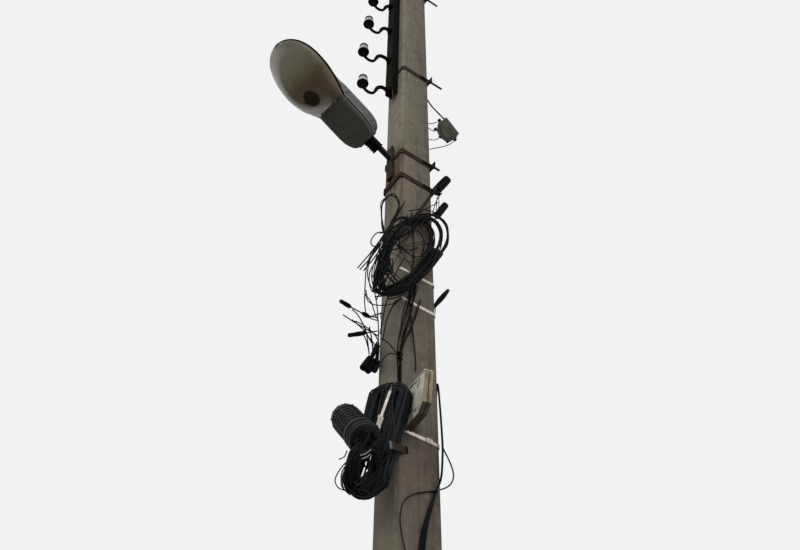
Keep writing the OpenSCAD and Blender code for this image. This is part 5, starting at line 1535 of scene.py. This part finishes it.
# Plain plastics: base, worn, roughness and gloss
PLASTICS = {
    "closure_black": ((0.009, 0.009, 0.010), (0.018, 0.018, 0.020), 0.42, 0.14),
    "clamp_black": ((0.005, 0.005, 0.005), (0.010, 0.010, 0.010), 0.55, 0.04),
    "blue_black": ((0.010, 0.010, 0.020), (0.022, 0.022, 0.040), 0.5, 0.1),
    "splice_green": ((0.185, 0.182, 0.148), (0.128, 0.126, 0.102), 0.6, 0.15),
    "ridge_grey": ((0.150, 0.145, 0.130), (0.070, 0.066, 0.056), 0.7, 0.2),
    "groove_brown": ((0.040, 0.026, 0.015), (0.016, 0.011, 0.007), 0.8, 0.05),
    # rim_grey also paints the glint on the closure's clamp ring
    "rim_grey": ((0.095, 0.098, 0.100), (0.050, 0.052, 0.054), 0.5, 0.2),
    # pale_tape is also the colour of painted glints on two leads and of a painted highlight on the coil
    # bracket
    "pale_tape": ((0.30, 0.31, 0.32), (0.20, 0.21, 0.22), 0.5, 0.4),
}
make_camera()
MAT = {
    "concrete": concrete(),
    "dark_steel": old_paint("dark_steel", (0.005, 0.0045, 0.0035), (0.009, 0.008, 0.006),
                            (0.016, 0.010, 0.006), 0.40, 0.7, 0.02),
    "rusty_steel": old_paint("rusty_steel", (0.046, 0.038, 0.029), (0.074, 0.062, 0.048),
                             (0.052, 0.034, 0.021), 0.60, 0.6, 0.10),
    "insulator_glass": glass_insulator(),
    "lamp_grey": lamp_paint(),
    "tray_grey": tray_paint(),
    "reflector_metal": reflector_metal(),
    "bulb_glass": bulb_glass(),
    "bowl_plastic": bowl_plastic(),
    "bright_strap": steel_strap(),
    "cable_black": cable("cable_black", (0.0045, 0.005, 0.0052), (0.013, 0.013, 0.014), 0.5, 0.05),
    "coil_black": cable("coil_black", (0.0075, 0.0095, 0.0105), (0.026, 0.031, 0.036), 0.42, 0.12),
    "box_cream": box_plastic(),
    "arm_steel": arm_paint(),
}
for name, values in PLASTICS.items():
    MAT[name] = plain_plastic(name, *values)
for entry in frame["record"]["subparts"]:
    obj = NODES[entry["node"]]
    obj.data.materials.clear()
    obj.data.materials.append(MAT[entry["material_slot"]])
NODES["lamp_arm"].data.materials[0] = MAT["arm_steel"]

stored_cable()
loose_strands()
down_leads()
lower_coil()
closure_leads()
riser()
edge_run()
drop_clamps()
span_fittings()
closure_dome()
closure_base()
closure_hanger()
coil_bracket()
terminal_box_shell()
insulator_skirts()
hook_bars()
small_splice_box()
lamp_ribs()
tray_ridges()

# Stage and light

FLOOR_HALF, FLOOR_Z = 40, -0.002
FLOOR_SEEN, FLOOR_LIT = (0.80, 0.80, 0.80), (0.22, 0.21, 0.20)
SKY_SEEN, SKY_LIT, SKY_STRENGTH = (0.89, 0.89, 0.90), (0.95, 0.97, 1.0), 0.72


def pale_floor():
    """A plain floor just below the pole's foot."""
    corners = [(x * FLOOR_HALF, y * FLOOR_HALF, FLOOR_Z) for x, y in ((-1, -1), (1, -1), (1, 1), (-1, 1))]
    mesh = bpy.data.meshes.new("floor")
    mesh.from_pydata(corners, [], [(0, 1, 2, 3)])
    mesh.materials.append(pale_stage("floor", FLOOR_SEEN, FLOOR_LIT))
    floor = bpy.data.objects.new("floor", mesh)
    bpy.context.scene.collection.objects.link(floor)


def pale_world():
    """A world that the camera, gloss and glass see as pale, and that lights the object softly."""
    world = bpy.data.worlds.new("world")
    bpy.context.scene.world = world
    world.use_nodes = True
    tree = world.node_tree
    light = tree.nodes["Background"]
    light.inputs["Color"].default_value = (*SKY_LIT, 1)
    light.inputs["Strength"].default_value = SKY_STRENGTH
    shown = tree.nodes.new("ShaderNodeBackground")
    shown.inputs["Color"].default_value = (*SKY_SEEN, 1)
    path = tree.nodes.new("ShaderNodeLightPath")
    direct = path.outputs["Is Camera Ray"]
    for name in ("Is Glossy Ray", "Is Transmission Ray"):
        either = tree.nodes.new("ShaderNodeMath")
        either.operation = "MAXIMUM"
        tree.links.new(direct, either.inputs[0])
        tree.links.new(path.outputs[name], either.inputs[1])
        direct = either.outputs[0]
    mix = tree.nodes.new("ShaderNodeMixShader")
    for i, source in enumerate((direct, light.outputs[0], shown.outputs[0])):
        tree.links.new(source, mix.inputs[i])
    tree.links.new(mix.outputs[0], tree.nodes["World Output"].inputs["Surface"])


def sun(name, azimuth, elevation, strength, angle, color=(1, 1, 1)):
    """A broad soft lamp from a direction; azimuth 0 looks along the wide face's normal."""
    data = bpy.data.lights.new(name, "SUN")
    data.energy, data.angle, data.color = strength, math.radians(angle), color
    obj = bpy.data.objects.new(name, data)
    a, e = math.radians(azimuth), math.radians(elevation)
    back = Vector((math.sin(a) * math.cos(e), -math.cos(a) * math.cos(e), math.sin(e)))
    obj.rotation_mode = "QUATERNION"
    obj.rotation_quaternion = (-back).to_track_quat("-Z", "Y")
    bpy.context.scene.collection.objects.link(obj)


pale_floor()
pale_world()
sun("key", -70, 48, 0.85, 50, (1.0, 0.985, 0.96))
sun("fill", 20, 30, 0.25, 60)
bpy.context.scene.view_settings.view_transform = "Standard"
